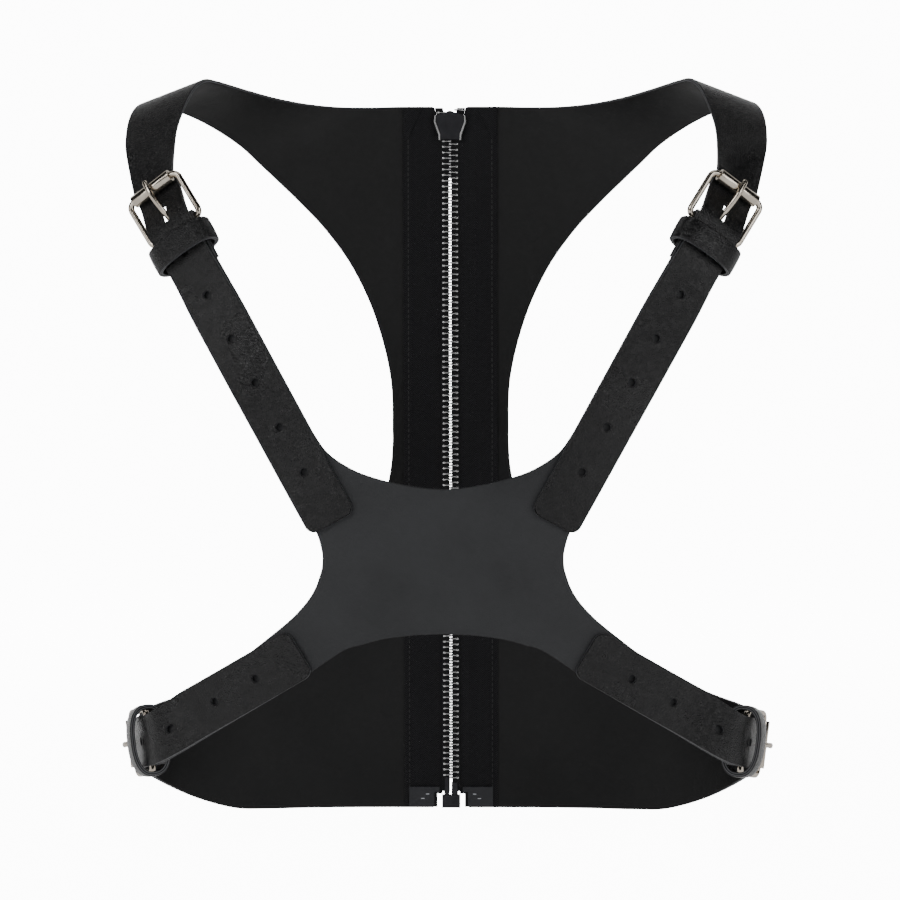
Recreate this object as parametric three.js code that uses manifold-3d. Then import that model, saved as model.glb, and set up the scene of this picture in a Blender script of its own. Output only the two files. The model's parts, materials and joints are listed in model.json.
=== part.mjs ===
// A leather chest harness with a zip back: one X-shaped front plate, two back halves that run on
// into four buckled straps, and a separating zip between the halves. Millimetres, +Z up, the
// front faces -Y, and the origin lies on the floor under the middle of the harness.
import * as THREE from 'three';
import { mergeVertices } from 'three/addons/utils/BufferGeometryUtils.js';
import Module from 'manifold-3d';

const wasm = await Module();
wasm.setup();

// ---- driving dimensions ----
const bodyWidth = 316; // between the side straps, round the wearer
const bodyHeight = 374; // hem to back neckline
const frontDepth = 98; // front plate ahead of the side straps
const backDepth = 90; // zip behind the side straps, at the hem
const zipLean = 0.0798; // how far the zip leans forward for each mm of height
const middleShift = 4.5; // centres the harness front to back on the origin
const leather = 2.4;
const gap = 0.3;
const strapWidth = 25.4;
const holePitch = 25.4;
const holeDiameter = 4;
const plainBand = 27; // flat band of leather beside the zip, out from the middle
const zipOpening = 9.5; // leather edge, out from the middle

// ---- buckle, in its own frame: s along the strap, w across it, n off the body ----
const wire = 3.2;
const barSpacing = 25;
const buckleSlack = 1.6; // a strap's edge to the frame's side
const buckleCorner = 3.4;
const rollerDiameter = 6.6;
const rollerBore = 3.8;
const rollerSlack = 2.1; // the roller's end to the frame's side
const tongueDiameter = 2.8;
const tongueEye = 4;
const keeperBand = 12.5;
const keeperPastBar = 4;
const keeperFill = 0.79375; // a strap's share of the oval's width, so that its corners clear
const keeperSlack = 6.4; // over the leather that passes through
const keeperThickness = 2.4;
const rivetPastBar = 12;
const rivetShaft = 3;
const rivetCap = [7, 0.8];
const foldLap = 24;
const tongueHoleAt = 14.5;
const tongueSlot = [10, 4.4];
const tongueSlotAt = 15.5;

// ---- zip ----
const toothPitch = 3;
const chainHalfWidth = 4.3;
const toothOverlap = 0.65;
const toothGap = 0.5;
const chainThickness = 3.4;
const tapeWidth = 25;
const tapeThickness = 0.8;
const sliderLength = 14.6;
const sliderNeck = 6.15;
const sliderShoulder = 8.5;
const sliderWall = 1.3;
const pullLength = 28;
const pullWidth = 6.8;
const pullThickness = 1.4;
const boxSize = [9.7, 6.7, 4.8];
const pinDepth = 2.4;
const pinOuter = 3.7;
const retainingPin = { inner: 0.95, top: 16.8 };
const insertionPin = { inner: 0.25, top: 14 };

// ---- what follows from them ----
const drawnWidth = 316;
const drawnHeight = 374;
const keeperAt = barSpacing + keeperPastBar;
const rivetAt = barSpacing + rivetPastBar;
const bendStart = barSpacing + 19;
const bendEnd = bendStart + 36;
const foldEnd = barSpacing + 7.5;
const across = 3;
const station = 8;
const pivotDrop = -(leather + gap) / 2;
const pivotRadius = wire / 2 + gap + leather / 2;
const rollerRise = rollerDiameter / 2 + gap + leather / 2 - (leather + gap);
const overBar = pivotDrop + pivotRadius + leather + gap;
const overRivet = leather / 2 + gap + rivetCap[1] + gap + leather / 2 + 0.3;
const overArm = leather + gap;
const buckleWidth = strapWidth + 2 * (buckleSlack + wire);
const rollerLength = buckleWidth - 2 * (wire + rollerSlack);
const keeperInside = [strapWidth / keeperFill, 4 * leather + keeperSlack];
const underRoller = rollerRise - rollerDiameter / 2 - gap - leather / 2;

const wide = (x) => x * bodyWidth / drawnWidth;
const tall = (z) => z * bodyHeight / drawnHeight;
const vec = (x, y, z) => new THREE.Vector3(x, y, z);
const lerp = THREE.MathUtils.lerp;
const ease = THREE.MathUtils.smoothstep;

// ---- the body that the leather is shaped on ----
// Front: a squared ellipse in plan, fullest at the chest and widening towards the shoulders.
function frontPoint(x, z) {
  const squareness = 2.45;
  const halfWidth = bodyWidth / 2 - 1 + 0.06 * z;
  const depth = frontDepth - 0.0004 * (z - tall(180)) ** 2;
  const share = Math.min(Math.abs(x) / halfWidth, 0.999);
  return vec(x, middleShift - depth * (1 - share ** squareness) ** (1 / squareness), z);
}

// Back: flat beside the zip, then a squared ellipse round to the sides.
function backPoint(x, z) {
  const squareness = 2.2;
  const depth = backDepth - zipLean * z;
  const share = Math.max(0, x - plainBand) / (bodyWidth / 2 - plainBand);
  const bulge = (1 - Math.min(share, 1) ** squareness) ** (1 / squareness);
  return vec(x, middleShift + depth * bulge, z);
}

function frontNormal(x, z) {
  const alongX = frontPoint(x + 0.05, z).sub(frontPoint(x - 0.05, z));
  const alongZ = frontPoint(x, z + 0.05).sub(frontPoint(x, z - 0.05));
  return alongX.cross(alongZ).normalize();
}

// ---- a strap's run: straight through its buckle, then bending onto the front plate ----
function makeRun(roller, meets, tip) {
  const along = frontPoint(...meets).sub(roller);
  const straight = along.length();
  along.normalize();
  const out = frontNormal(...meets);
  out.addScaledVector(along, -out.dot(along)).normalize();
  const side = out.clone().cross(along);
  const steps = 60;
  const line = [];
  let travelled = 0;
  for (let i = 0; i <= steps; i++) {
    const x = lerp(meets[0], tip[0], i / steps);
    const z = lerp(meets[1], tip[1], i / steps);
    if (i > 0) travelled += frontPoint(x, z).distanceTo(frontPoint(line[i - 1].x, line[i - 1].z));
    line.push({ x, z, s: straight + travelled });
  }
  const slope = Math.hypot(tip[0] - meets[0], tip[1] - meets[1]);
  const sideX = -(tip[1] - meets[1]) / slope;
  const sideZ = (tip[0] - meets[0]) / slope;
  const onLine = (s) => {
    const i = Math.max(1, line.findIndex((p) => p.s >= s));
    const k = (s - line[i - 1].s) / (line[i].s - line[i - 1].s);
    return [lerp(line[i - 1].x, line[i].x, k), lerp(line[i - 1].z, line[i].z, k)];
  };
  const surface = (s, w) => {
    const flat = roller.clone().addScaledVector(along, s).addScaledVector(side, w);
    const bend = ease(s, bendStart, bendEnd);
    if (bend === 0) return flat;
    const [x, z] = onLine(Math.min(s, line[steps].s));
    return flat.lerp(frontPoint(x + w * sideX, z + w * sideZ), bend);
  };
  const at = (s, w, n) => {
    const reach = 0.4;
    const alongS = surface(s, w).sub(surface(s - reach, w));
    const alongW = surface(s, w + reach).sub(surface(s, w - reach));
    return surface(s, w).addScaledVector(alongS.cross(alongW).normalize(), n);
  };
  const frame = new THREE.Matrix4().makeBasis(along, side, out).setPosition(roller);
  return { at, frame, length: line[steps].s };
}

const upperMeets = [wide(124.7), tall(284)];
const upperRun = makeRun(frontPoint(wide(146), tall(323)), upperMeets, [wide(54), tall(155.5)]);
const lowerMeets = [wide(150), tall(44.5)];
const lowerRoller = vec(wide(159), middleShift - 8, tall(41));
const lowerRun = makeRun(lowerRoller, lowerMeets, [wide(70), tall(92)]);

// Height of the strap's middle over the arm's: under the roller, over the bar, then on the arm.
function strapHeight(s) {
  if (s < barSpacing) return lerp(underRoller, overBar, ease(s, 0, barSpacing - 1));
  if (s < rivetAt) return lerp(overBar, overRivet, ease(s, barSpacing, rivetAt));
  return lerp(overRivet, overArm, ease(s, rivetAt, rivetAt + 21));
}

// ---- making solids ----
// Quads between rows of points, with points that meet joined into one.
function weld(patches) {
  const points = [];
  const faces = [];
  const seen = new Map();
  const index = (p) => {
    const key = [p.x, p.y, p.z].map((v) => Math.round(v * 1000)).join();
    if (!seen.has(key)) seen.set(key, points.push(p) - 1);
    return seen.get(key);
  };
  for (const rows of patches) {
    for (let r = 1; r < rows.length; r++) {
      for (let c = 1; c < rows[r].length; c++) {
        const corners = [rows[r - 1][c - 1], rows[r][c - 1], rows[r][c], rows[r - 1][c]];
        const [a, b, d, e] = corners.map(index);
        faces.push([a, b, d], [a, d, e]);
      }
    }
  }
  return { points, faces };
}

function toGeometry(points, faces) {
  const geometry = new THREE.BufferGeometry().setFromPoints(points);
  geometry.setIndex(faces.flat());
  return geometry;
}

function signedVolume(points, faces) {
  return faces.reduce((sum, [a, b, c]) =>
    sum + points[a].dot(points[b].clone().cross(points[c])) / 6, 0);
}

// A sheet of leather: the patches' surface, half the thickness added on each side.
function thicken(patches, thickness) {
  const { points, faces } = weld(patches);
  const normals = points.map(() => vec(0, 0, 0));
  const edges = new Map();
  for (const face of faces) {
    const [a, b, c] = face.map((i) => points[i]);
    const normal = b.clone().sub(a).cross(c.clone().sub(a));
    face.forEach((i) => normals[i].add(normal));
    face.forEach((from, k) => edges.set(`${from},${face[(k + 1) % 3]}`, [from, face[(k + 1) % 3]]));
  }
  normals.forEach((n) => n.normalize());
  const offset = (side) => points.map((p, i) => p.clone().addScaledVector(normals[i], side));
  const shell = [...offset(thickness / 2), ...offset(-thickness / 2)];
  const under = points.length;
  const closed = [...faces, ...faces.map(([a, b, c]) => [a + under, c + under, b + under])];
  for (const [a, b] of edges.values()) {
    if (edges.has(`${b},${a}`)) continue;
    closed.push([a, a + under, b + under], [a, b + under, b]);
  }
  const flipped = signedVolume(shell, closed) < 0;
  return toGeometry(shell, flipped ? closed.map(([a, b, c]) => [a, c, b]) : closed);
}

// A body through rings of points: closed into a loop, or capped at both ends.
function loft(rings, looped) {
  const size = rings[0].length;
  const points = rings.flat();
  const faces = [];
  for (let r = looped ? 0 : 1; r < rings.length; r++) {
    const last = ((r + rings.length - 1) % rings.length) * size;
    for (let c = 0; c < size; c++) {
      const next = (c + 1) % size;
      faces.push([last + c, r * size + c, r * size + next], [last + c, r * size + next, last + next]);
    }
  }
  const end = points.length - size;
  for (let c = 2; c < size && !looped; c++) {
    faces.push([0, c - 1, c], [end, end + c, end + c - 1]);
  }
  const flipped = signedVolume(points, faces) < 0;
  return toGeometry(points, flipped ? faces.map(([a, b, c]) => [a, c, b]) : faces);
}

function toSolid(geometry) {
  const bare = geometry.clone();
  bare.deleteAttribute('normal');
  bare.deleteAttribute('uv');
  const merged = mergeVertices(bare, 1e-4);
  return new wasm.Manifold(new wasm.Mesh({
    numProp: 3,
    vertProperties: new Float32Array(merged.attributes.position.array),
    triVerts: new Uint32Array(merged.index.array),
  }));
}

function fromSolid(solid) {
  const mesh = solid.getMesh();
  const geometry = new THREE.BufferGeometry();
  geometry.setAttribute('position', new THREE.BufferAttribute(mesh.vertProperties, 3));
  geometry.setIndex(new THREE.BufferAttribute(mesh.triVerts, 1));
  return geometry;
}

const joined = (parts) => fromSolid(parts.map(toSolid).reduce((sum, part) => sum.add(part)));
const cut = (body, tools) =>
  fromSolid(tools.map(toSolid).reduce((left, tool) => left.subtract(tool), toSolid(body)));

function mirrored(geometry) {
  const other = geometry.clone().applyMatrix4(new THREE.Matrix4().makeScale(-1, 1, 1));
  const flip = other.index.array;
  for (let i = 0; i < flip.length; i += 3) [flip[i + 1], flip[i + 2]] = [flip[i + 2], flip[i + 1]];
  return other;
}

function slab(outline, low, high) {
  const shape = new THREE.Shape(outline.map(([x, y]) => new THREE.Vector2(x, y)));
  return new THREE.ExtrudeGeometry(shape, { depth: high - low, bevelEnabled: false })
    .translate(0, 0, low);
}

function block(from, to) {
  const size = to.map((v, i) => v - from[i]);
  return new THREE.BoxGeometry(...size).translate(...from.map((v, i) => v + size[i] / 2));
}

// ---- leather ----
const rowAcross = (point) => Array.from({ length: across + 1 }, (_, c) => point(c / across));
const range = (from, to, steps) => Array.from({ length: steps + 1 }, (_, i) => lerp(from, to, i / steps));

// The rounded tail's half width at s: full, then round corners into a flat end.
function tailHalf(run, s) {
  const corner = 5;
  const left = Math.min(corner, run.length - s);
  return strapWidth / 2 - corner + Math.sqrt(corner ** 2 - (corner - left) ** 2);
}

// Where the sheets have a row past the buckle, the same on the arm as on the strap above it.
function stationsUpTo(end) {
  const first = barSpacing + 5;
  return range(first, first + station * Math.floor((end - first) / station),
    Math.floor((end - first) / station));
}

function strapRows(run, sideSign) {
  const tip = [5, 3, 1.2, 0.2].map((left) => run.length - left);
  const stations = [...range(-10, barSpacing, 8), ...stationsUpTo(run.length - 8), ...tip];
  return stations.map((s) => rowAcross((k) =>
    run.at(s, sideSign * lerp(-1, 1, k) * tailHalf(run, s), strapHeight(s))));
}

// Cutters for a strap: the tongue's slot and the punched holes past it.
function strapHoles(run, count) {
  const slot = block([-tongueSlot[0] / 2, -tongueSlot[1] / 2, -6], [tongueSlot[0] / 2, tongueSlot[1] / 2, 6]);
  slot.translate(tongueSlotAt, 0, strapHeight(tongueSlotAt)).applyMatrix4(run.frame);
  const holes = range(1, count, count - 1).map((i) => {
    const s = tongueHoleAt - 1 + i * holePitch;
    const inside = run.at(s, 0, strapHeight(s) - leather);
    const outside = run.at(s, 0, strapHeight(s) + leather);
    const punch = new THREE.CylinderGeometry(holeDiameter / 2, holeDiameter / 2, 2 * leather, 10);
    const turn = new THREE.Quaternion().setFromUnitVectors(vec(0, 1, 0),
      outside.clone().sub(inside).normalize());
    const middle = inside.lerp(outside, 0.5);
    return punch.applyQuaternion(turn).translate(middle.x, middle.y, middle.z);
  });
  return [slot, ...holes];
}

const graded = (points) => points.map(([x, z]) => [wide(x), tall(z)]);

function backHalf() {
  const armhole = graded([[30.9, 197], [32.2, 181], [37, 160], [44, 140], [56, 120], [76, 100],
    [98, 85], [118, 72], [138, 63.5], [151, 59.5], [157, 57]]);
  const hem = graded([[31, 0], [35.5, 0], [42, 0], [51, 0], [63, 0], [79, 0],
    [97, 0], [115, 1], [133, 7], [147, 15], [157, 24]]);
  // The wing's first columns meet the yoke's first row point for point.
  const fromBand = rowAcross((k) => k).slice(0, across);
  const tops = [...fromBand.map((k) => [lerp(plainBand, armhole[0][0], k), armhole[0][1]]), ...armhole];
  const feet = [...fromBand.map((k) => [lerp(plainBand, hem[0][0], k), 0]), ...hem];
  const wing = tops.map(([x, z], i) =>
    rowAcross((k) => backPoint(lerp(feet[i][0], x, k), lerp(feet[i][1], z, k))));
  const sideStrap = strapRows(lowerRun, -1);

  const bandTop = [197, 230, 262, 292, 320, 348, 374].map((z) => backPoint(plainBand, tall(z)));
  const neckline = [[43, 57.5, 373.6], [60, 53.5, 373.6], [76, 47, 374.6], [91, 38, 376.6],
    [103, 27, 379], [112, 16.5, 381], [119, 6, 382.3], [124.5, -5, 382.3], [129, -15, 378],
    [133, -24.5, 369], [136.5, -34, 357], [139.5, -43, 345]];
  const armTop = graded([[30.9, 197], [31.9, 230], [39.8, 262], [51.5, 288], [65.5, 308],
    [79.5, 323], [93, 336]]).map(([x, z]) => backPoint(x, z));
  const shoulder = [[101, 49.5, 343.5], [109, 44.5, 351], [118, 37.5, 357.5], [127.5, 29, 363],
    [136, 20, 366.8], [144, 11, 369.2], [151, 2.5, 370.2], [157, -6.5, 369.6], [160.5, -15, 366],
    [162.5, -24, 359.5], [163, -33, 351], [162, -42, 341.5]];
  const placed = ([x, y, z]) => vec(wide(x), middleShift + y, tall(z));
  const inner = [...bandTop, ...neckline.map(placed)];
  const outer = [...armTop, ...shoulder.map(placed)];
  const yoke = inner.map((from, i) => rowAcross((k) => {
    const point = from.clone().lerp(outer[i], k);
    const round = backPoint(point.x, point.z);
    return point.lerp(round, 1 - ease(i, bandTop.length - 1, bandTop.length + 4));
  }));
  const shoulderStrap = strapRows(upperRun, 1);

  const bandLevels = [...wing[0], ...bandTop.slice(1)].map((p) => p.z);
  const band = bandLevels.map((z) => [backPoint(zipOpening, z), backPoint(plainBand, z)]);
  const flip = (rows) => rows.map((row) => [...row].reverse());
  const sheet = thicken([flip([...wing, ...sideStrap]), [...yoke, ...shoulderStrap], band], leather);
  return cut(sheet, [...strapHoles(upperRun, 6), ...strapHoles(lowerRun, 4)]);
}

// The arm's end: lapped back under itself and folded round the buckle's bar.
function armRows(run, sideSign, until) {
  const lap = [barSpacing + foldLap, barSpacing + 16, foldEnd].map((s) => [s, -leather - gap]);
  const turns = range(285, 75, 7).map((degrees) => {
    const angle = THREE.MathUtils.degToRad(degrees);
    return [barSpacing + pivotRadius * Math.cos(angle), pivotDrop + pivotRadius * Math.sin(angle)];
  });
  const front = [foldEnd, ...stationsUpTo(until).slice(1)].map((s) => [s, 0]);
  return [...lap, ...turns, ...front].map(([s, n]) => rowAcross((k) =>
    run.at(s, sideSign * lerp(-0.5, 0.5, k) * strapWidth, n)));
}

function armCutters(run) {
  const slot = block([barSpacing - 7, -tongueEye / 2 - 1, -9], [barSpacing + 6, tongueEye / 2 + 1, 3]);
  const bore = new THREE.CylinderGeometry(rivetShaft / 2 + gap, rivetShaft / 2 + gap, 8, 12);
  bore.rotateX(Math.PI / 2).translate(rivetAt, 0, pivotDrop);
  return [slot, bore].map((tool) => tool.applyMatrix4(run.frame));
}

function frontPlate() {
  const upperArm = armRows(upperRun, 1, upperRun.length - 43);
  const lowerArm = armRows(lowerRun, -1, lowerRun.length - 18);
  const inside = graded([[57, 190.5], [45, 182.5], [33, 178], [21, 175], [10, 173.2], [0, 172.5],
    [0, 155], [0, 137], [0, 119], [0, 101], [15, 100.3], [29, 98.5], [41, 95.3], [52, 91]]);
  const outside = graded([[80.5, 180], [74, 170.5], [68.5, 162], [64.5, 155], [61.8, 149],
    [60.5, 144.5], [59.7, 140.5], [59.6, 137], [60, 133], [61.2, 129], [63, 124], [66.5, 118],
    [72, 111.5], [79, 105]]);
  const onBody = (a, b) => rowAcross((k) => frontPoint(lerp(a[0], b[0], k), lerp(a[1], b[1], k)));
  const middle = inside.map((point, i) => onBody(point, outside[i]));
  const half = [...upperArm, ...middle, ...lowerArm.reverse()];
  const other = half.map((row) => row.map((p) => vec(-p.x, p.y, p.z)).reverse());
  const cutters = [upperRun, lowerRun].flatMap(armCutters);
  return cut(thicken([half, other], leather), [...cutters, ...cutters.map(mirrored)]);
}

// ---- buckle pieces, each in the buckle's own frame ----
function octagon(centre, across1, across2, radius) {
  return Array.from({ length: 8 }, (_, i) => centre.clone()
    .addScaledVector(across1, radius * Math.cos(i * Math.PI / 4))
    .addScaledVector(across2, radius * Math.sin(i * Math.PI / 4)));
}

function buckleFrame() {
  const slant = vec(barSpacing, 0, pivotDrop - rollerRise);
  const length = slant.length();
  slant.normalize();
  const up = slant.clone().cross(vec(0, 1, 0));
  const half = (buckleWidth - wire) / 2;
  const centres = [[buckleCorner, half - buckleCorner, 90], [buckleCorner, buckleCorner - half, 180],
    [length - buckleCorner, buckleCorner - half, 270], [length - buckleCorner, half - buckleCorner, 0]];
  const rings = centres.flatMap(([a, w, start]) => range(start, start + 90, 3).map((degrees) => {
    const angle = THREE.MathUtils.degToRad(degrees);
    const spoke = slant.clone().multiplyScalar(Math.cos(angle)).add(vec(0, Math.sin(angle), 0));
    const centre = vec(0, w, rollerRise).addScaledVector(slant, a).addScaledVector(spoke, buckleCorner);
    return octagon(centre, spoke, up, wire / 2);
  }));
  return loft(rings, true);
}

function tube(outer, inner, length, sides) {
  const profile = [[inner, -length / 2], [outer, -length / 2], [outer, length / 2],
    [inner, length / 2], [inner, -length / 2]];
  return new THREE.LatheGeometry(profile.map(([r, y]) => new THREE.Vector2(r, y)), sides);
}

const roller = () =>
  tube(rollerDiameter / 2, rollerBore / 2, rollerLength, 14).translate(0, 0, rollerRise);

function tongue() {
  const eyeBore = wire / 2 + gap;
  const eye = tube(eyeBore + 1.4, eyeBore, tongueEye, 12).translate(barSpacing, 0, pivotDrop);
  const rest = rollerRise + rollerDiameter / 2 + gap + tongueDiameter / 2;
  const path = new THREE.CatmullRomCurve3([vec(barSpacing - 2.6, 0, pivotDrop + 0.6),
    vec(tongueHoleAt + 3.6, 0, pivotDrop + 1.6), vec(tongueHoleAt - 0.3, 0, strapHeight(tongueHoleAt) + 0.7),
    vec(8.5, 0, rest - 1.6), vec(3.5, 0, rest - 0.1), vec(-1, 0, rest), vec(-4.2, 0, rest - 0.4)]);
  const rings = range(0, 1, 8).map((k) => {
    const radius = tongueDiameter / 2 * (k === 1 ? 0.6 : 1);
    const up = path.getTangent(k).cross(vec(0, 1, 0)).normalize();
    return octagon(path.getPoint(k), vec(0, 1, 0), up, radius);
  });
  return joined([eye, loft(rings, false)]);
}

function keeper() {
  const squareness = 2.5;
  const [halfW, halfN] = keeperInside.map((v) => v / 2);
  const middle = (overRivet - leather - gap) / 2 + 0.2;
  const rings = range(0, 23, 23).map((i) => {
    const angle = i * Math.PI / 12;
    const cos = Math.cos(angle);
    const sin = Math.sin(angle);
    const oval = (grow) => [
      Math.sign(cos) * Math.abs(cos) ** (2 / squareness) * (halfW + grow),
      middle + Math.sign(sin) * Math.abs(sin) ** (2 / squareness) * (halfN + grow)];
    const [w0, n0] = oval(0);
    const [w1, n1] = oval(keeperThickness);
    return [vec(keeperAt, w0, n0), vec(keeperAt + keeperBand, w0, n0),
      vec(keeperAt + keeperBand, w1, n1), vec(keeperAt, w1, n1)];
  });
  return loft(rings, true);
}

function foldRivet() {
  const top = leather / 2 + gap;
  const bottom = -leather * 1.5 - 2 * gap;
  const [capDiameter, capHeight] = rivetCap;
  const profile = [[0, bottom - capHeight], [capDiameter / 2, bottom - capHeight], [capDiameter / 2, bottom],
    [rivetShaft / 2, bottom], [rivetShaft / 2, top], [capDiameter / 2, top],
    [capDiameter / 2, top + capHeight], [0, top + capHeight]];
  const lathe = new THREE.LatheGeometry(profile.map(([r, y]) => new THREE.Vector2(r, y)), 10);
  return lathe.rotateX(Math.PI / 2).translate(rivetAt, 0, 0);
}

// ---- zip pieces, in the zip's frame: x across, y up the zip, z away from the wearer ----
const zipLength = tall(drawnHeight) * Math.hypot(1, zipLean);
const zipUp = vec(0, -zipLean, 1).normalize();
const zipOut = vec(0, 1, zipLean).normalize();
const zipFoot = vec(0, middleShift + backDepth, 0).addScaledVector(zipOut, -leather / 2);
const zipFrame = new THREE.Matrix4().makeBasis(vec(-1, 0, 0), zipUp, zipOut).setPosition(zipFoot);
const tapeFace = -gap - tapeThickness;
const chainMiddle = tapeFace + tapeThickness / 2;
const chainInside = chainMiddle - chainThickness / 2;
const chainOutside = chainMiddle + chainThickness / 2;
const sliderTop = zipLength - 3;
const partsAt = sliderTop - 10.5;
const apart = (t) => Math.max(0, 0.24 * (t - partsAt));

// Half of the chain: a rack of teeth, its tips past the middle, mating with the other half's gaps.
function toothRow(bottom, phase) {
  const top = zipLength - 1.5;
  const points = [];
  for (let i = Math.ceil(2 * bottom / toothPitch); i * toothPitch / 2 < top; i++) {
    const t = i * toothPitch / 2;
    const tip = (i + phase) % 2 === 0;
    points.push([apart(t) + (tip ? -toothOverlap : toothOverlap + toothGap), t]);
  }
  const end = points[points.length - 1][1];
  const outline = [...points, [chainHalfWidth + apart(end), end], [chainHalfWidth, partsAt],
    [chainHalfWidth, points[0][1]]];
  return slab(outline, chainInside, chainOutside);
}

function zipTape() {
  const edge = chainHalfWidth + gap + 0.1;
  const foot = boxSize[0] / 2 + 2.5;
  const clear = boxSize[1] + 1;
  return slab([[edge, clear], [foot, clear], [foot, 0.5], [tapeWidth, 0.5], [tapeWidth, zipLength],
    [edge + apart(zipLength), zipLength], [edge, partsAt]], tapeFace, tapeFace + tapeThickness);
}

const tapeEndFilm = () => slab([[9, 0.8], [22.5, 0.8], [22.5, 11.5], [6.2, 11.5], [6.2, 8.6], [9, 8.6]],
  tapeFace - gap - 0.3, tapeFace - gap);

function zipSlider() {
  const foot = sliderTop - sliderLength;
  const neckTop = foot + 2.8;
  const shoulderFoot = foot + 9.3;
  const shoulderTop = foot + 13;
  const inner = sliderNeck - 1.25;
  const half = [[sliderNeck, foot], [sliderNeck, neckTop], [sliderShoulder, shoulderFoot],
    [sliderShoulder, shoulderTop], [4.6, sliderTop - 0.4]];
  const plate = [...half, [0, sliderTop + 1], ...half.map(([x, t]) => [-x, t]).reverse()];
  const rail = [...half.slice(0, 4), [sliderShoulder - 1.2, shoulderTop],
    [sliderShoulder - 1.2, shoulderFoot + 0.3], [inner, neckTop + 0.3], [inner, foot]];
  const inside = chainInside - gap;
  const outside = chainOutside + gap;
  const lip = gap + 0.1;
  const rails = [1, -1].flatMap((side) => [[inside - 0.2, tapeFace - lip],
    [tapeFace + tapeThickness + lip, outside + 0.2]].map(([low, high]) =>
    slab(rail.map(([x, t]) => [side * x, t]), low, high)));
  const post = block([-0.5, sliderTop - 3, inside - 0.2], [0.5, sliderTop - 0.3, outside + 0.2]);
  const top = outside + sliderWall;
  const arch = [block([-1.5, pullAxis - 5, top - 0.3], [1.5, pullAxis - 3.8, top + 3.4]),
    block([-1.5, pullAxis + 3.8, top - 0.3], [1.5, pullAxis + 5, top + 3.4]),
    block([-1.5, pullAxis - 5, top + 2.2], [1.5, pullAxis + 5, top + 3.4])];
  return joined([slab(plate, inside - sliderWall, inside), slab(plate, outside, top),
    ...rails, post, ...arch]);
}

const pullAxis = sliderTop - 7;
const pullRise = chainOutside + gap + sliderWall + 1.1;

function pullTab() {
  const low = pullRise - pullThickness / 2;
  const high = pullRise + pullThickness / 2;
  const half = pullWidth / 2;
  const foot = pullAxis - pullLength;
  const round = range(180, 360, 8).map((degrees) => {
    const angle = THREE.MathUtils.degToRad(degrees);
    return [half * Math.cos(angle), foot + half + half * Math.sin(angle)];
  });
  const outline = [...round, [half, pullAxis + 0.7], [-half, pullAxis + 0.7]];
  const plate = slab(outline, low, high);
  const eye = block([-half + 1.2, pullAxis - 6, low - 1], [half - 1.2, pullAxis - 0.7, high + 1]);
  return cut(plate, [eye]);
}

const pin = ({ inner, top }) =>
  block([inner, 1.9, chainMiddle - pinDepth / 2], [pinOuter, top, chainMiddle + pinDepth / 2]);

function zipBox() {
  const [width, height, depth] = boxSize;
  const low = chainMiddle - depth / 2;
  const pocket = pinOuter + gap;
  const deep = pinDepth / 2 + gap;
  return cut(block([-width / 2, 0.3, low], [width / 2, 0.3 + height, low + depth]),
    [block([-pocket, 1.6, chainMiddle - deep], [pocket, height + 2, chainMiddle + deep])]);
}

// ---- materials ----
const finish = (color, roughness, metalness) =>
  () => new THREE.MeshStandardMaterial({ color, roughness, metalness });
const plateLeather = finish(0x37383a, 0.62, 0);
const strapLeather = finish(0x232425, 0.5, 0);
const nickel = finish(0xb9b2a6, 0.22, 1);
const tapeCloth = finish(0x0c0c0d, 0.9, 0);
const toothMetal = finish(0xb4b6b8, 0.3, 1);
const gunmetal = finish(0x303032, 0.5, 1);
const reinforcingFilm = finish(0x1b1d24, 0.45, 0);

// ---- assembly ----
const harness = new THREE.Group();

function add(parent, name, geometry, material) {
  const mesh = new THREE.Mesh(geometry, material());
  mesh.name = name;
  parent.add(mesh);
}

const half = backHalf();
add(harness, 'front_plate', frontPlate(), plateLeather);
add(harness, 'back_half_left', half, strapLeather);
add(harness, 'back_half_right', mirrored(half), strapLeather);

const mirror = new THREE.Matrix4().makeScale(-1, 1, 1);
const buckles = [['upper_left', upperRun, false], ['upper_right', upperRun, true],
  ['lower_left', lowerRun, false], ['lower_right', lowerRun, true]];
for (const [place, run, other] of buckles) {
  const buckle = new THREE.Group();
  const flipSide = new THREE.Matrix4().makeScale(1, -1, 1);
  const frame = other ? mirror.clone().multiply(run.frame).multiply(flipSide) : run.frame;
  frame.decompose(buckle.position, buckle.quaternion, buckle.scale);
  add(buckle, `buckle_frame_${place}`, buckleFrame(), nickel);
  add(buckle, `roller_${place}`, roller(), nickel);
  add(buckle, `tongue_${place}`, tongue(), nickel);
  add(buckle, `keeper_${place}`, keeper(), strapLeather);
  add(buckle, `fold_rivet_${place}`, foldRivet(), gunmetal);
  harness.add(buckle);
}

// In the zip's frame +x is the wearer's right.
const zip = new THREE.Group();
zipFrame.decompose(zip.position, zip.quaternion, zip.scale);
add(zip, 'zip_tape_right', zipTape(), tapeCloth);
add(zip, 'zip_tape_left', mirrored(mergeVertices(zipTape())), tapeCloth);
add(zip, 'tape_end_film_right', tapeEndFilm(), reinforcingFilm);
add(zip, 'tape_end_film_left', mirrored(mergeVertices(tapeEndFilm())), reinforcingFilm);
add(zip, 'zip_teeth_right', toothRow(retainingPin.top + gap, 0), toothMetal);
add(zip, 'zip_teeth_left', mirrored(mergeVertices(toothRow(insertionPin.top + gap, 1))), toothMetal);
add(zip, 'zip_slider', zipSlider(), gunmetal);
add(zip, 'pull_tab', pullTab(), gunmetal);
add(zip, 'retaining_pin', pin(retainingPin), gunmetal);
add(zip, 'insertion_pin', mirrored(mergeVertices(pin(insertionPin))), gunmetal);
add(zip, 'retaining_box', zipBox(), gunmetal);
harness.add(zip);

// The hem's lower edge stands on the floor.
harness.position.z = -zipUp.y * leather / 2;

export default harness;
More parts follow.
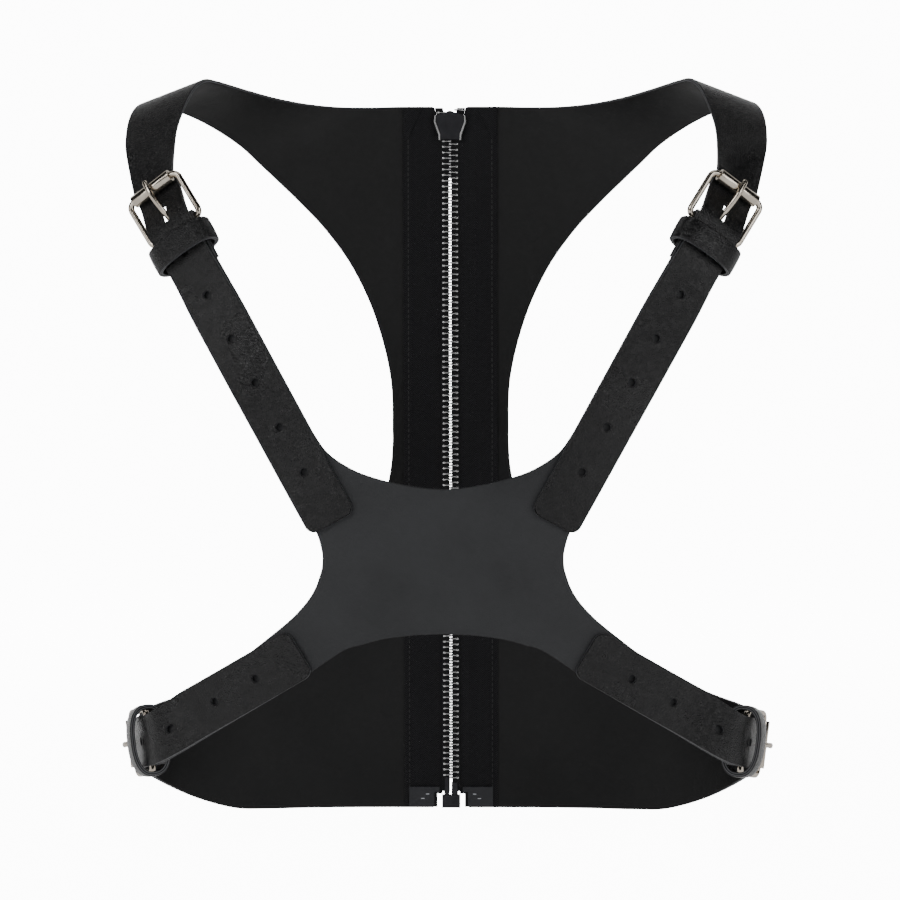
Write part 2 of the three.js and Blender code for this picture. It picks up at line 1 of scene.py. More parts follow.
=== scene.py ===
"""A leather chest harness with a zip back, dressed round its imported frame.

The sections follow the harness as it is put together: the studio it is seen in, then leather, buckles,
keepers and rivets, then the zip. Sizes are millimetres until a mesh is made; +Z is up and -Y is the front.
"""
import json
import math

import bpy
import numpy as np
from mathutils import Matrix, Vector


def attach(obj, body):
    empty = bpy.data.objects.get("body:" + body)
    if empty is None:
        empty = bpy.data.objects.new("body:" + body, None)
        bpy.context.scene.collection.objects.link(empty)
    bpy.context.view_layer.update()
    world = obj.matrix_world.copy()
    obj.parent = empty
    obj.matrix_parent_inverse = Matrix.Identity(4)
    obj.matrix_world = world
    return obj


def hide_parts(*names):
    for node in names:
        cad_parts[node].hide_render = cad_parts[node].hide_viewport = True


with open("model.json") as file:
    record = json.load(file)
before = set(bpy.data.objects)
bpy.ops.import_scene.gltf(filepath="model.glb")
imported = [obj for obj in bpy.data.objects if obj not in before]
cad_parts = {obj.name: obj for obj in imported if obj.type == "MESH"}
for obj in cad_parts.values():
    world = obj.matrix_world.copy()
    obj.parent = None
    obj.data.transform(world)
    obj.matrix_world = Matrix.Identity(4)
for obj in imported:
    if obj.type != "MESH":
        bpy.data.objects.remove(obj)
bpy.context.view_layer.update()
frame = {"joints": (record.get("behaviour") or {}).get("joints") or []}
joints = {joint["name"]: joint for joint in frame["joints"]}

# ---------------------------------------------------------------------------------------------
# Studio: a long lens square to the front at chest height, a pale sweep of paper, and large soft
# boxes, the way a shop shows a garment on an unseen figure.
# ---------------------------------------------------------------------------------------------
eye = Vector((0.0506, -2.202, 0.192))
aim = Vector((0.0, 0.064, 0.192))
camera = bpy.data.objects.new("camera", bpy.data.cameras.new("camera"))
camera.location = eye
camera.rotation_euler = (aim - eye).to_track_quat("-Z", "Y").to_euler()
camera.data.sensor_width = 36
camera.data.lens = 171.0
camera.data.clip_end = 20
bpy.context.collection.objects.link(camera)
bpy.context.scene.camera = camera


def linear(hex_colour):
    """A colour written as sRGB hex digits, turned to the linear values that shaders take."""
    channels = [int(hex_colour[i:i + 2], 16) / 255 for i in (0, 2, 4)]
    return tuple(c / 12.92 if c <= 0.04045 else ((c + 0.055) / 1.055) ** 2.4 for c in channels) + (1.0,)


def node(tree, kind, links=(), **settings):
    """Adds one shader node; settings name its properties or its sockets, and links feed its sockets."""
    made = tree.nodes.new(kind)
    for key, value in settings.items():
        if hasattr(made, key):
            setattr(made, key, value)
        else:
            made.inputs[int(key[1:]) if key[0] == "_" else key.replace("_", " ")].default_value = value
    for target, source in dict(links).items():
        tree.links.new(source, made.inputs[target])
    return made


def material(name, **principled):
    """A new material and its tree and Principled shader, with constant values set on the shader."""
    made = bpy.data.materials.new(name)
    made.use_nodes = True
    tree = made.node_tree
    shader = tree.nodes["Principled BSDF"]
    for key, value in principled.items():
        shader.inputs[key.replace("_", " ")].default_value = value
    return made, tree, shader


def grid_mesh(name, rows, looped=False):
    """A mesh over a grid of points (rows, columns, xyz); looped joins the last column to the first.

    A last row that repeats the first joins up with it; otherwise a looped grid's two ends are closed."""
    closed = len(rows) > 3 and np.allclose(rows[0], rows[-1], atol=1e-7)
    rows = rows[:-1] if closed else rows
    count_r, count_c = rows.shape[:2]
    index = np.arange(count_r * count_c).reshape(count_r, count_c)
    if closed:
        index = np.concatenate([index, index[:1]], axis=0)
    if looped:
        index = np.concatenate([index, index[:, :1]], axis=1)
    quads = np.stack([index[:-1, :-1], index[:-1, 1:], index[1:, 1:], index[1:, :-1]], -1).reshape(-1, 4)
    ends = [index[0, :-1][::-1].tolist(), index[-1, :-1].tolist()] if looped and not closed else []
    mesh = bpy.data.meshes.new(name)
    mesh.from_pydata(rows.reshape(-1, 3).tolist(), [], quads.tolist() + ends)
    return mesh


# Paper sweep: flat under the harness, then a quarter turn up, far enough back to walk round the harness.
# The paper and the sky past its edges look brighter to the camera than the light they throw.
PAPER_GLOW = 12.0
sweep_angle = np.linspace(0, math.pi / 2, 24)
sweep_y = np.concatenate([[-10.0], 4.6 + 2.4 * np.sin(sweep_angle), [7.0]])
sweep_z = np.concatenate([[0.0], 2.4 - 2.4 * np.cos(sweep_angle), [12.0]]) - 0.004
sweep_rows = np.stack([np.stack([np.full_like(sweep_y, x), sweep_y, sweep_z], -1) for x in (-12.0, 12.0)])
sweep = bpy.data.objects.new("paper_sweep", grid_mesh("paper_sweep", sweep_rows))
bpy.context.collection.objects.link(sweep)
sweep.data.shade_smooth()
paper, paper_tree, paper_shader = material("matte white paper", Base_Color=linear("fafafa"), Roughness=0.9)
paper_shader.inputs["Emission Color"].default_value = linear("ffffff")
to_camera = node(paper_tree, "ShaderNodeLightPath").outputs["Is Camera Ray"]
paper_glow = node(paper_tree, "ShaderNodeMapRange", {"Value": to_camera},
                  **{"To Min": 0.5, "To Max": PAPER_GLOW})
paper_tree.links.new(paper_glow.outputs[0], paper_shader.inputs["Emission Strength"])
paper_grain = node(paper_tree, "ShaderNodeTexNoise", Scale=180.0)
paper_bump = node(paper_tree, "ShaderNodeBump", {"Height": paper_grain.outputs["Fac"]}, Strength=0.05)
paper_tree.links.new(paper_bump.outputs["Normal"], paper_shader.inputs["Normal"])
sweep.data.materials.append(paper)

world = bpy.data.worlds.new("studio")
world.use_nodes = True
way = node(world.node_tree, "ShaderNodeTexCoord").outputs["Generated"]
depth_way = node(world.node_tree, "ShaderNodeSeparateXYZ", {0: way})
shade = node(world.node_tree, "ShaderNodeMapRange", {"Value": depth_way.outputs["Y"]},
             **{"From Min": -0.35, "From Max": 0.65, "To Min": 0.03, "To Max": 0.7})
beyond = node(world.node_tree, "ShaderNodeLightPath").outputs["Is Camera Ray"]
pale = node(world.node_tree, "ShaderNodeMath", {0: beyond}, operation="MULTIPLY", _1=PAPER_GLOW)
seen = node(world.node_tree, "ShaderNodeMath", {0: shade.outputs[0], 1: pale.outputs[0]}, operation="MAXIMUM")
world.node_tree.links.new(seen.outputs[0], world.node_tree.nodes["Background"].inputs["Strength"])
bpy.context.scene.world = world

soft_boxes = [
    ("key_box", (-1.3, -2.1, 1.5), (1.1, 0.9), 20.0),
    ("fill_box", (1.5, -2.0, 0.9), (0.9, 1.1), 10.0),
    ("strip_left", (-2.1, -1.5, 0.75), (0.3, 1.3), 8.0),
    ("strip_right", (2.1, -1.5, 0.75), (0.3, 1.3), 7.0),
    ("top_box", (0.0, -0.3, 2.3), (1.6, 0.8), 7.0),
    ("paper_box", (0.0, 1.5, 2.4), (5.0, 1.0), 120.0),
]
for box_name, place, (wide, tall), power in soft_boxes:
    lamp = bpy.data.lights.new(box_name, "AREA")
    lamp.shape = "RECTANGLE"
    lamp.size, lamp.size_y, lamp.energy = wide, tall, power
    light = bpy.data.objects.new(box_name, lamp)
    light.location = place
    target = Vector((0, 4.0, 1.2)) if box_name == "paper_box" else Vector((0, 0, 0.2))
    light.rotation_euler = (target - Vector(place)).to_track_quat("-Z", "Y").to_euler()
    bpy.context.collection.objects.link(light)

# ---------------------------------------------------------------------------------------------
# Front plate: one X of 2.4 mm black leather, two layers bonded back to back, moulded to the chest.
# Each arm is skived, folded back round its buckle's bar and riveted to itself.
# ---------------------------------------------------------------------------------------------
LEATHER = 2.4
GAP = 0.3
STRAP = 25.4
BODY_WIDTH = 316.0
FRONT_DEPTH = 98.0
BACK_DEPTH = 90.0
ZIP_LEAN = 0.0798
MIDDLE = 4.5
LIFT = ZIP_LEAN / math.hypot(1, ZIP_LEAN) * LEATHER / 2
BAR_SPACING = 25.0
RIVET_AT = 37.0
BEND = (44.0, 80.0)
WIRE = 3.2
ROLLER = 6.6
PIVOT_DROP = -(LEATHER + GAP) / 2
PIVOT_RADIUS = WIRE / 2 + GAP + LEATHER / 2
ROLLER_RISE = ROLLER / 2 + GAP + LEATHER / 2 - (LEATHER + GAP)


def unit(v):
    """Vectors along the last axis, scaled to length one."""
    return v / np.linalg.norm(v, axis=-1, keepdims=True)


def ease(v, low, high):
    """A smooth step from 0 at low to 1 at high: 3t^2 - 2t^3."""
    t = np.clip((v - low) / (high - low), 0, 1)
    return t * t * (3 - 2 * t)


def front_surface(x, z):
    """The chest: a squared ellipse in plan, deepest at z = 180 and wider towards the shoulders."""
    half = BODY_WIDTH / 2 - 1 + 0.06 * z
    depth = FRONT_DEPTH - 0.0004 * (z - 180) ** 2
    share = np.minimum(np.abs(x) / half, 0.999)
    return np.stack([x, MIDDLE - depth * (1 - share ** 2.45) ** (1 / 2.45), z], -1)


class StrapRun:
    """A strap's way over the harness: straight through its buckle, then bending onto the chest.

    Its points are given by s along it from the roller, w across it and n off the leather's middle."""

    def __init__(self, roller, meets, tip):
        self.roller = np.array(roller, float)
        met = front_surface(*np.array(meets, float))
        self.along = unit(met - self.roller)
        step = 0.05
        rise = front_surface(meets[0], meets[1] + step) - front_surface(meets[0], meets[1] - step)
        across = front_surface(meets[0] + step, meets[1]) - front_surface(meets[0] - step, meets[1])
        out = unit(np.cross(across, rise))
        self.out = unit(out - self.along * (out @ self.along))
        self.side = np.cross(self.out, self.along)
        self.line = np.linspace(meets, tip, 61)
        chords = np.linalg.norm(np.diff(front_surface(self.line[:, 0], self.line[:, 1]), axis=0), axis=-1)
        self.s = np.linalg.norm(met - self.roller) + np.concatenate([[0], np.cumsum(chords)])
        self.length = self.s[-1]
        heading = unit(np.array(tip, float) - meets)
        self.across = np.array([-heading[1], heading[0]])

    def surface(self, s, w):
        s, w = np.broadcast_arrays(s, w)
        flat = self.roller + self.along * s[..., None] + self.side * w[..., None]
        x = np.interp(s, self.s, self.line[:, 0]) + w * self.across[0]
        z = np.interp(s, self.s, self.line[:, 1]) + w * self.across[1]
        bend = ease(s, *BEND)[..., None]
        return flat * (1 - bend) + front_surface(x, z) * bend

    def at(self, s, w, n):
        reach = 0.4
        along = self.surface(s, w) - self.surface(s - reach, w)
        across = self.surface(s, w + reach) - self.surface(s, w - reach)
        return self.surface(s, w) + unit(np.cross(along, across)) * np.asarray(n)[..., None]


upper_roller = front_surface(np.array(146.0), np.array(323.0))
upper_run = StrapRun(upper_roller, (124.7, 284), (54, 155.5))
lower_run = StrapRun((159, MIDDLE - 8, 41), (150, 44.5), (70, 92))


def smooth_rows(control, steps, corners=()):
    """Rows between control rows by cubic Hermite curves, one through each column of points.

    At a row in corners the first column turns sharply and the last runs on smoothly."""
    last = len(control) - 1
    slopes = np.empty_like(control)
    slopes[1:-1] = (control[2:] - control[:-2]) / 2
    slopes[0], slopes[-1] = control[1] - control[0], control[-1] - control[-2]
    leave, arrive = slopes.copy(), slopes.copy()
    k = np.linspace(0, 1, control.shape[1])[:, None]
    for c in corners:
        leave[c] = (control[c + 1] - control[c]) * (1 - k) + slopes[c] * k
        arrive[c] = (control[c] - control[c - 1]) * (1 - k) + slopes[c] * k
    t = np.linspace(0, 1, steps, endpoint=False)[None, :, None, None]
    p0, p1, m0, m1 = control[:last, None], control[1:, None], leave[:last, None], arrive[1:, None]
    curve = ((2 * t**3 - 3 * t**2 + 1) * p0 + (t**3 - 2 * t**2 + t) * m0
             + (3 * t**2 - 2 * t**3) * p1 + (t**3 - t**2) * m1)
    return np.concatenate([curve.reshape(-1, *control.shape[1:]), control[-1:]])


# Across a leather edge from its inner face (-1) to its outer face (1): how far round the rim stands in.
EDGE_LEVELS = np.array([0.93, 0.78, 0.6, 0.42, 0.2, 0.0, -0.2, -0.42, -0.6, -0.78, -0.93])
EDGE_INSET = 0.34


def leather_sheet(name, patches, thickness=LEATHER, inset=EDGE_INSET):
    """A sheet of leather over patches of (points, kept cells), its edges rounded.

    Points that meet are joined, faces are set half the thickness off along the normals, and a rim of
    rounded levels closes every free edge. "edge" runs from -1 on the side that faces the wearer to 1 on the
    outer side, and "rim" is 1 on the rim."""
    points, quads, start = [], [], 0
    for rows, kept in patches:
        index = start + np.arange(rows.shape[0] * rows.shape[1]).reshape(rows.shape[:2])
        cells = np.stack([index[:-1, :-1], index[:-1, 1:], index[1:, 1:], index[1:, :-1]], -1)
        quads.append(cells[kept] if kept is not None else cells.reshape(-1, 4))
        points.append(rows.reshape(-1, 3))
        start += index.size
    points, quads = np.concatenate(points), np.concatenate(quads)
    _, first, merged = np.unique(np.round(points, 2), axis=0, return_index=True, return_inverse=True)
    quads = merged.reshape(-1)[quads]
    points = points[first]
    used = np.unique(quads)
    renumber = np.full(len(points), -1)
    renumber[used] = np.arange(len(used))
    points, quads = points[used], renumber[quads]
    across = points[quads[:, 2]] - points[quads[:, 0]]
    other = points[quads[:, 3]] - points[quads[:, 1]]
    face_normals = np.cross(across, other)
    normals = np.zeros_like(points)
    for corner in range(4):
        np.add.at(normals, quads[:, corner], face_normals)
    normals = unit(normals)
    starts, ends = quads.reshape(-1), np.roll(quads, -1, axis=1).reshape(-1)
    codes, back = starts * len(points) + ends, ends * len(points) + starts
    free = ~np.isin(codes, back)
    a, b = starts[free], ends[free]
    outward = unit(np.cross(points[b] - points[a], np.repeat(face_normals, 4, axis=0)[free]))
    edge_out = np.zeros_like(points)
    np.add.at(edge_out, a, outward)
    np.add.at(edge_out, b, outward)
    on_edge = np.linalg.norm(edge_out, axis=-1) > 1e-6
    edge_out[on_edge] = unit(edge_out[on_edge])
    half, count = thickness / 2, len(points)
    top = points + normals * half - edge_out * inset
    bottom = points - normals * half - edge_out * inset
    rim_ids = np.flatnonzero(on_edge)
    round_in = inset * (1 - np.sqrt(1 - np.abs(EDGE_LEVELS) ** 5))
    groove = 0.10 * np.exp(-(EDGE_LEVELS / 0.12) ** 2)
    rims = (points[rim_ids] + normals[rim_ids] * half * EDGE_LEVELS[:, None, None]
            - edge_out[rim_ids] * (round_in + groove)[:, None, None])
    place_in_rim = np.full(count, -1)
    place_in_rim[rim_ids] = np.arange(len(rim_ids))
    ring = [np.arange(count)] + [2 * count + i * len(rim_ids) + place_in_rim for i in range(len(EDGE_LEVELS))]
    ring.append(count + np.arange(count))
    walls = [np.stack([upper[a], lower[a], lower[b], upper[b]], -1) for upper, lower in zip(ring, ring[1:])]
    faces = np.concatenate([quads, quads[:, ::-1] + count, *walls])
    vertices = (np.concatenate([top, bottom, rims.reshape(-1, 3)]) + (0, 0, LIFT)) * 0.001
    mesh = bpy.data.meshes.new(name)
    mesh.from_pydata(vertices.tolist(), [], faces.tolist())
    outer_side = np.sign(np.sum(normals[:, :2] * points[:, :2]))
    rim_level = np.repeat(EDGE_LEVELS, len(rim_ids))
    level = np.concatenate([np.ones(count), -np.ones(count), rim_level]) * outer_side
    in_rim = np.concatenate([np.zeros(2 * count), np.ones(len(EDGE_LEVELS) * len(rim_ids))])
    for attribute, values in (("edge", level), ("rim", in_rim)):
        mesh.attributes.new(attribute, "FLOAT", "POINT").data.foreach_set("value", values.astype(np.float32))
    mesh.shade_smooth()
    piece = bpy.data.objects.new(name, mesh)
    bpy.context.collection.objects.link(piece)
    return piece


def black_leather(name, face, inside, grain_mm, grain_depth, roughness, crease_depth):
    """Chrome-tanned black leather: pigmented pebbled grain outside, smooth inside, laminated cut edges.
    The inside colour is the lining's own black deepened as painted shade, darker than the grain side.

    The grain gives broken soft highlights, a slow noise uneven polish, and the rim two pale bands,
    partly the bond between the layers and partly a painted highlight along the rounded edge."""
    made, tree, shader = material(name, IOR=1.48)
    shader.inputs["Specular IOR Level"].default_value = 0.32
    shader.inputs["Coat Weight"].default_value = 0.04
    shader.inputs["Coat Roughness"].default_value = 0.35
    place = node(tree, "ShaderNodeTexCoord").outputs["Object"]
    edge = node(tree, "ShaderNodeAttribute", attribute_name="edge").outputs["Fac"]
    rim = node(tree, "ShaderNodeAttribute", attribute_name="rim").outputs["Fac"]
    warp = node(tree, "ShaderNodeTexNoise", {"Vector": place}, Scale=220.0, Detail=2.0)
    shift = node(tree, "ShaderNodeVectorMath", {0: warp.outputs["Color"]}, operation="SCALE", Scale=0.0022)
    moved = node(tree, "ShaderNodeVectorMath", {0: place, 1: shift.outputs[0]}, operation="ADD")
    cells = node(tree, "ShaderNodeTexVoronoi", {"Vector": moved.outputs[0]},
                 feature="DISTANCE_TO_EDGE", Scale=1000 / grain_mm)
    pebble = node(tree, "ShaderNodeMapRange", {"Value": cells.outputs["Distance"]},
                  **{"From Max": 0.35, "To Max": 1.0})
    fine = node(tree, "ShaderNodeTexNoise", {"Vector": place}, Scale=2600.0, Detail=3.0)
    creases = node(tree, "ShaderNodeTexNoise", {"Vector": place}, Scale=70.0, Detail=6.0, Distortion=1.6)
    outside = node(tree, "ShaderNodeMapRange", {"Value": edge}, **{"From Min": 0.9, "From Max": 1.0})
    worn = node(tree, "ShaderNodeTexNoise", {"Vector": place}, Scale=9.0, Detail=2.0)
    fullness = node(tree, "ShaderNodeMapRange", {"Value": worn.outputs["Fac"]},
                    **{"From Min": 0.35, "From Max": 0.65, "To Min": 0.45, "To Max": 1.0})
    shown_grain = node(tree, "ShaderNodeMath", {0: outside.outputs[0], 1: fullness.outputs[0]},
                       operation="MULTIPLY")
    grain = node(tree, "ShaderNodeMath", {0: pebble.outputs[0], 1: shown_grain.outputs[0]},
                 operation="MULTIPLY")
    grain_bump = node(tree, "ShaderNodeBump", {"Height": grain.outputs[0]},
                      Strength=1.0, Distance=grain_depth)
    fine_bump = node(tree, "ShaderNodeBump", {"Height": fine.outputs["Fac"], "Normal": grain_bump.outputs[0]},
                     Strength=0.35, Distance=0.0002)
    crease_bump = node(tree, "ShaderNodeBump",
                       {"Height": creases.outputs["Fac"], "Normal": fine_bump.outputs[0]},
                       Strength=0.6, Distance=crease_depth)
    tree.links.new(crease_bump.outputs[0], shader.inputs["Normal"])
    polish = node(tree, "ShaderNodeTexNoise", {"Vector": place}, Scale=26.0, Detail=4.0)
    rough = node(tree, "ShaderNodeMapRange", {"Value": polish.outputs["Fac"]},
                 **{"From Min": 0.3, "From Max": 0.7, "To Min": roughness - 0.07, "To Max": roughness + 0.08})
    flesh = node(tree, "ShaderNodeMapRange", {"Value": edge},
                 **{"From Min": 0.9, "From Max": 1.0, "To Min": 0.24, "To Max": 0.0})
    roughest = node(tree, "ShaderNodeMath", {0: rough.outputs[0], 1: flesh.outputs[0]}, operation="ADD")
    tree.links.new(roughest.outputs[0], shader.inputs["Roughness"])
    tint = node(tree, "ShaderNodeMapRange", {"Value": polish.outputs["Fac"]},
                **{"From Min": 0.3, "From Max": 0.7, "To Min": 0.82, "To Max": 1.15})
    # Painted shade: the inner face's colour is darker than the grain side, for the shade inside the harness.
    sides = node(tree, "ShaderNodeMix", {"Factor": outside.outputs[0]}, data_type="RGBA")
    sides.inputs["A"].default_value, sides.inputs["B"].default_value = linear(inside), linear(face)
    shaded = node(tree, "ShaderNodeVectorMath", {0: sides.outputs["Result"], "Scale": tint.outputs[0]},
                  operation="SCALE")
    # Painted highlight: the pale rim bands stand partly for the bond, partly for light along the rounded
    # edge.
    rim_bands_and_highlight = node(tree, "ShaderNodeValToRGB", {"Fac": node(
        tree, "ShaderNodeMath", {0: edge}, operation="ABSOLUTE").outputs[0]})
    stops = rim_bands_and_highlight.color_ramp
    stops.elements[0].position, stops.elements[0].color = 0.0, linear("0c0c0c")
    stops.elements[1].position, stops.elements[1].color = 1.0, linear("1c1c1d")
    for position, colour in ((0.16, "0c0c0c"), (0.30, "5c5d60"), (0.55, "4e4f52"), (0.72, "1b1b1c")):
        stops.elements.new(position).color = linear(colour)
    painted = node(tree, "ShaderNodeMix",
                   {"Factor": rim, "A": shaded.outputs[0], "B": rim_bands_and_highlight.outputs["Color"]}, data_type="RGBA")
    tree.links.new(painted.outputs["Result"], shader.inputs["Base Color"])
    return made


# Columns over a strap's width, close at its edges and lined up with its holes and the tongue's slot.
HOLE_COLUMNS = np.array([-12.7, -12.3, -11.4, -9.5, -7, -4.6, -3, -1.7, -0.85, 0,
                         0.85, 1.7, 3, 4.6, 7, 9.5, 11.4, 12.3, 12.7]) / 12.7
across_share = (HOLE_COLUMNS + 1) / 2

# Second colour: the inner face, darker than the grain as painted shade.
plate_leather = black_leather("smooth black leather, matte finish",
                              "2a2b2d", "060607", 0.8, 0.00008, 0.5, 0.0003)


def arm_rows(run, side_sign, until):
    """An arm of the front plate: lapped back, turned round the bar as a circle, then out along n = 0."""
    lap = BAR_SPACING + np.linspace(24, 7.5, 8)
    angle = np.radians(np.linspace(285, 75, 22))
    front = np.concatenate([[32.5, 35], np.arange(38, until + 0.1, 4)])
    s = np.concatenate([lap, BAR_SPACING + PIVOT_RADIUS * np.cos(angle), front])
    n = np.concatenate([np.full(len(lap), -LEATHER - GAP), PIVOT_DROP + PIVOT_RADIUS * np.sin(angle),
                        np.zeros(len(front))])
    w = side_sign * HOLE_COLUMNS * STRAP / 2
    return run.at(s[:, None], w[None, :], np.broadcast_to(n[:, None], (len(s), len(w)))), s


upper_end = 30 + 8 * math.floor((upper_run.length - 43 - 30) / 8)
lower_end = 30 + 8 * math.floor((lower_run.length - 18 - 30) / 8)
upper_arm, upper_s = arm_rows(upper_run, 1, upper_end)
lower_arm, lower_s = arm_rows(lower_run, -1, lower_end)
neck_and_hem = np.array([(57, 190.5), (45, 182.5), (33, 178), (21, 175), (10, 173.2), (0, 172.5), (0, 155),
                         (0, 137), (0, 119), (0, 101), (15, 100.3), (29, 98.5), (41, 95.3), (52, 91)])
waist = np.array([(80.5, 180), (74, 170.5), (68.5, 162), (64.5, 155), (61.8, 149), (60.5, 144.5),
                  (59.7, 140.5), (59.6, 137), (60, 133), (61.2, 129), (63, 124), (66.5, 118), (72, 111.5),
                  (79, 105)])
k = across_share[None, :, None]
middle = neck_and_hem[:, None] * (1 - k) + waist[:, None] * k
ends_above, ends_below = upper_arm[-2:, :, ::2], lower_arm[-1:-3:-1, :, ::2]
control = np.concatenate([ends_above, middle, ends_below])
corner_rows = (2 + 5, 2 + 9)
body_flat = smooth_rows(control, 5, corner_rows)[5:-5]
body = front_surface(body_flat[..., 0], body_flat[..., 1])
plate_half = np.concatenate([upper_arm[:-1], body, lower_arm[-2::-1]])
cell_s = np.concatenate([upper_s[:-1], np.full(len(body), 999.0), lower_s[-2::-1]])
near_bar = (np.minimum(cell_s[:-1], cell_s[1:]) < 30.5)[:, None]
in_slot = (np.abs(HOLE_COLUMNS[:-1] + HOLE_COLUMNS[1:]) / 2 * 12.7 < 3)[None, :]
kept_cells = ~(near_bar & in_slot)
mirror = np.array([-1, 1, 1])
front_plate = leather_sheet("front_plate_leather", [(plate_half, kept_cells),
                                                    ((plate_half * mirror)[:, ::-1], kept_cells[:, ::-1])])
front_plate.data.materials.append(plate_leather)
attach(front_plate, "root")
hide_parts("front_plate")

# ---------------------------------------------------------------------------------------------
# Back halves: each is one piece of the same leather, sewn flat to the zip and running on into a
# shoulder strap and a side strap, whose punched tails pass through the buckles onto the plate.
# ---------------------------------------------------------------------------------------------
BAND = 27.0
ZIP_OPENING = 9.5
TONGUE_HOLE = 14.5
TONGUE_SLOT = 15.5
HOLE_PITCH = 25.4
HOLE_RADIUS = 2.0
under_roller = ROLLER_RISE - ROLLER / 2 - GAP - LEATHER / 2
over_bar = PIVOT_DROP + PIVOT_RADIUS + LEATHER + GAP
over_rivet = LEATHER + 2 * GAP + 0.8 + 0.3
over_arm = LEATHER + GAP
# Second colour: the inner face, darker than the grain as painted shade.
strap_leather = black_leather("pebbled black leather, semi-matte",
                              "111112", "050506", 1.15, 0.00018, 0.3, 0.0005)


def back_surface(x, z):
    """The back: flat out to the band's edge, then a squared ellipse round to the sides."""
    depth = BACK_DEPTH - ZIP_LEAN * z
    share = np.clip((np.abs(x) - BAND) / (BODY_WIDTH / 2 - BAND), 0, 1)
    return np.stack([x, MIDDLE + depth * (1 - share ** 2.2) ** (1 / 2.2), z], -1)


def strap_height(s):
    """The strap over the arm: under the roller, eased up over the bar and rivet, then down on the arm."""
    rise = under_roller + (over_bar - under_roller) * ease(s, 0, BAR_SPACING - 1)
    settle = over_bar + (over_rivet - over_bar) * ease(s, BAR_SPACING, RIVET_AT)
    rest = over_rivet + (over_arm - over_rivet) * ease(s, RIVET_AT, RIVET_AT + 21)
    return np.where(s < BAR_SPACING, rise, np.where(s < RIVET_AT, settle, rest))


def strap_patch(run, side_sign, holes, start):
    """A strap from s = start to its rounded tip, with a slot for the tongue and a row of punched holes.

    Round each hole the grid's squares are drawn in to circles, and the leather stands up a little."""
    length = run.length
    centres = TONGUE_HOLE - 1 + HOLE_PITCH * np.arange(1, holes + 1)
    round_hole = np.array([-6.0, -4.2, -3, -1.7, -0.85, 0, 0.85, 1.7, 3, 4.2, 6.0])
    slot = TONGUE_SLOT + np.array([-7.6, -6.4, -5, -3, 0, 3, 5, 6.4, 7.6])
    over_fold = [25.3, 28, 30]
    by_holes = (centres[:, None] + round_hole).ravel()
    s = np.concatenate([np.arange(start, 4, 3), [5], slot, over_fold, by_holes])
    gaps = centres[:-1] + HOLE_PITCH / 2
    tail = np.arange(centres[-1] + 8.5, length - 6, 2.5)
    tip = length - np.array([5, 4, 3, 2.1, 1.3, 0.7, 0.3, 0.05])
    s = np.unique(np.concatenate([s, gaps, gaps - 3.3, gaps + 3.3, tail, tip]).round(3))
    corner = 5.0
    left = np.minimum(corner, length - s)
    half = STRAP / 2 - corner + np.sqrt(corner**2 - (corner - left) ** 2)
    grid_s, grid_w = np.meshgrid(s, HOLE_COLUMNS, indexing="ij")
    grid_w = grid_w * half[:, None]
    kept = np.ones((len(s) - 1, len(HOLE_COLUMNS) - 1), bool)
    middle_s = (grid_s[:-1, :-1] + grid_s[1:, 1:]) / 2
    middle_w = (grid_w[:-1, :-1] + grid_w[1:, 1:]) / 2
    kept &= ~((np.abs(middle_s - TONGUE_SLOT) < 5) & (np.abs(middle_w) < 1.7))
    raised = np.zeros_like(grid_s)
    for centre in centres:
        ds, dw = grid_s - centre, grid_w
        square = np.maximum(np.abs(ds), np.abs(dw))
        radius = np.maximum(np.hypot(ds, dw), 1e-6)
        share = np.clip((square - 1.7) / (4.6 - 1.7), 0, 1)
        pull = np.where(square < 4.6, (square * HOLE_RADIUS / 1.7 / radius) * (1 - share) + share, 1)
        kept &= ~((np.abs(middle_s - centre) < 1.7) & (np.abs(middle_w) < 1.7))
        grid_s, grid_w = centre + ds * pull, dw * pull
        raised += 0.26 * np.exp(-(((radius - HOLE_RADIUS) - 0.7) / 0.8) ** 2)
    slow = 0.22 * np.sin(grid_s * 0.11 + grid_w * 0.05 + 1.3) * ease(grid_s, 42, 60)
    return run.at(grid_s, side_sign * grid_w, strap_height(grid_s) + raised + slow * 0.4), kept


armhole = np.array([(30.9, 197), (32.2, 181), (37, 160), (44, 140), (56, 120), (76, 100),
                    (98, 85), (118, 72), (138, 63.5), (151, 59.5), (157, 57)])
hem = np.array([(31, 0), (35.5, 0), (42, 0), (51, 0), (63, 0), (79, 0),
                (97, 0), (115, 1), (133, 7), (147, 15), (157, 24)])
side_strap, side_kept = strap_patch(lower_run, -1, 4, -10)
shoulder_strap, shoulder_kept = strap_patch(upper_run, 1, 6, -4)
wing_flat = hem[:, None] * (1 - k) + armhole[:, None] * k
wing_control = np.concatenate([back_surface(wing_flat[..., 0], wing_flat[..., 1]), side_strap[:2]])
wing = smooth_rows(wing_control, 5)[:-5]
foot_x = BAND + (31 - BAND) * across_share[:-1]
top_x = BAND + (30.9 - BAND) * across_share[:-1]
gusset_x = foot_x[:, None] * (1 - across_share) + top_x[:, None] * across_share
gusset = back_surface(gusset_x, np.broadcast_to(197 * across_share, gusset_x.shape))

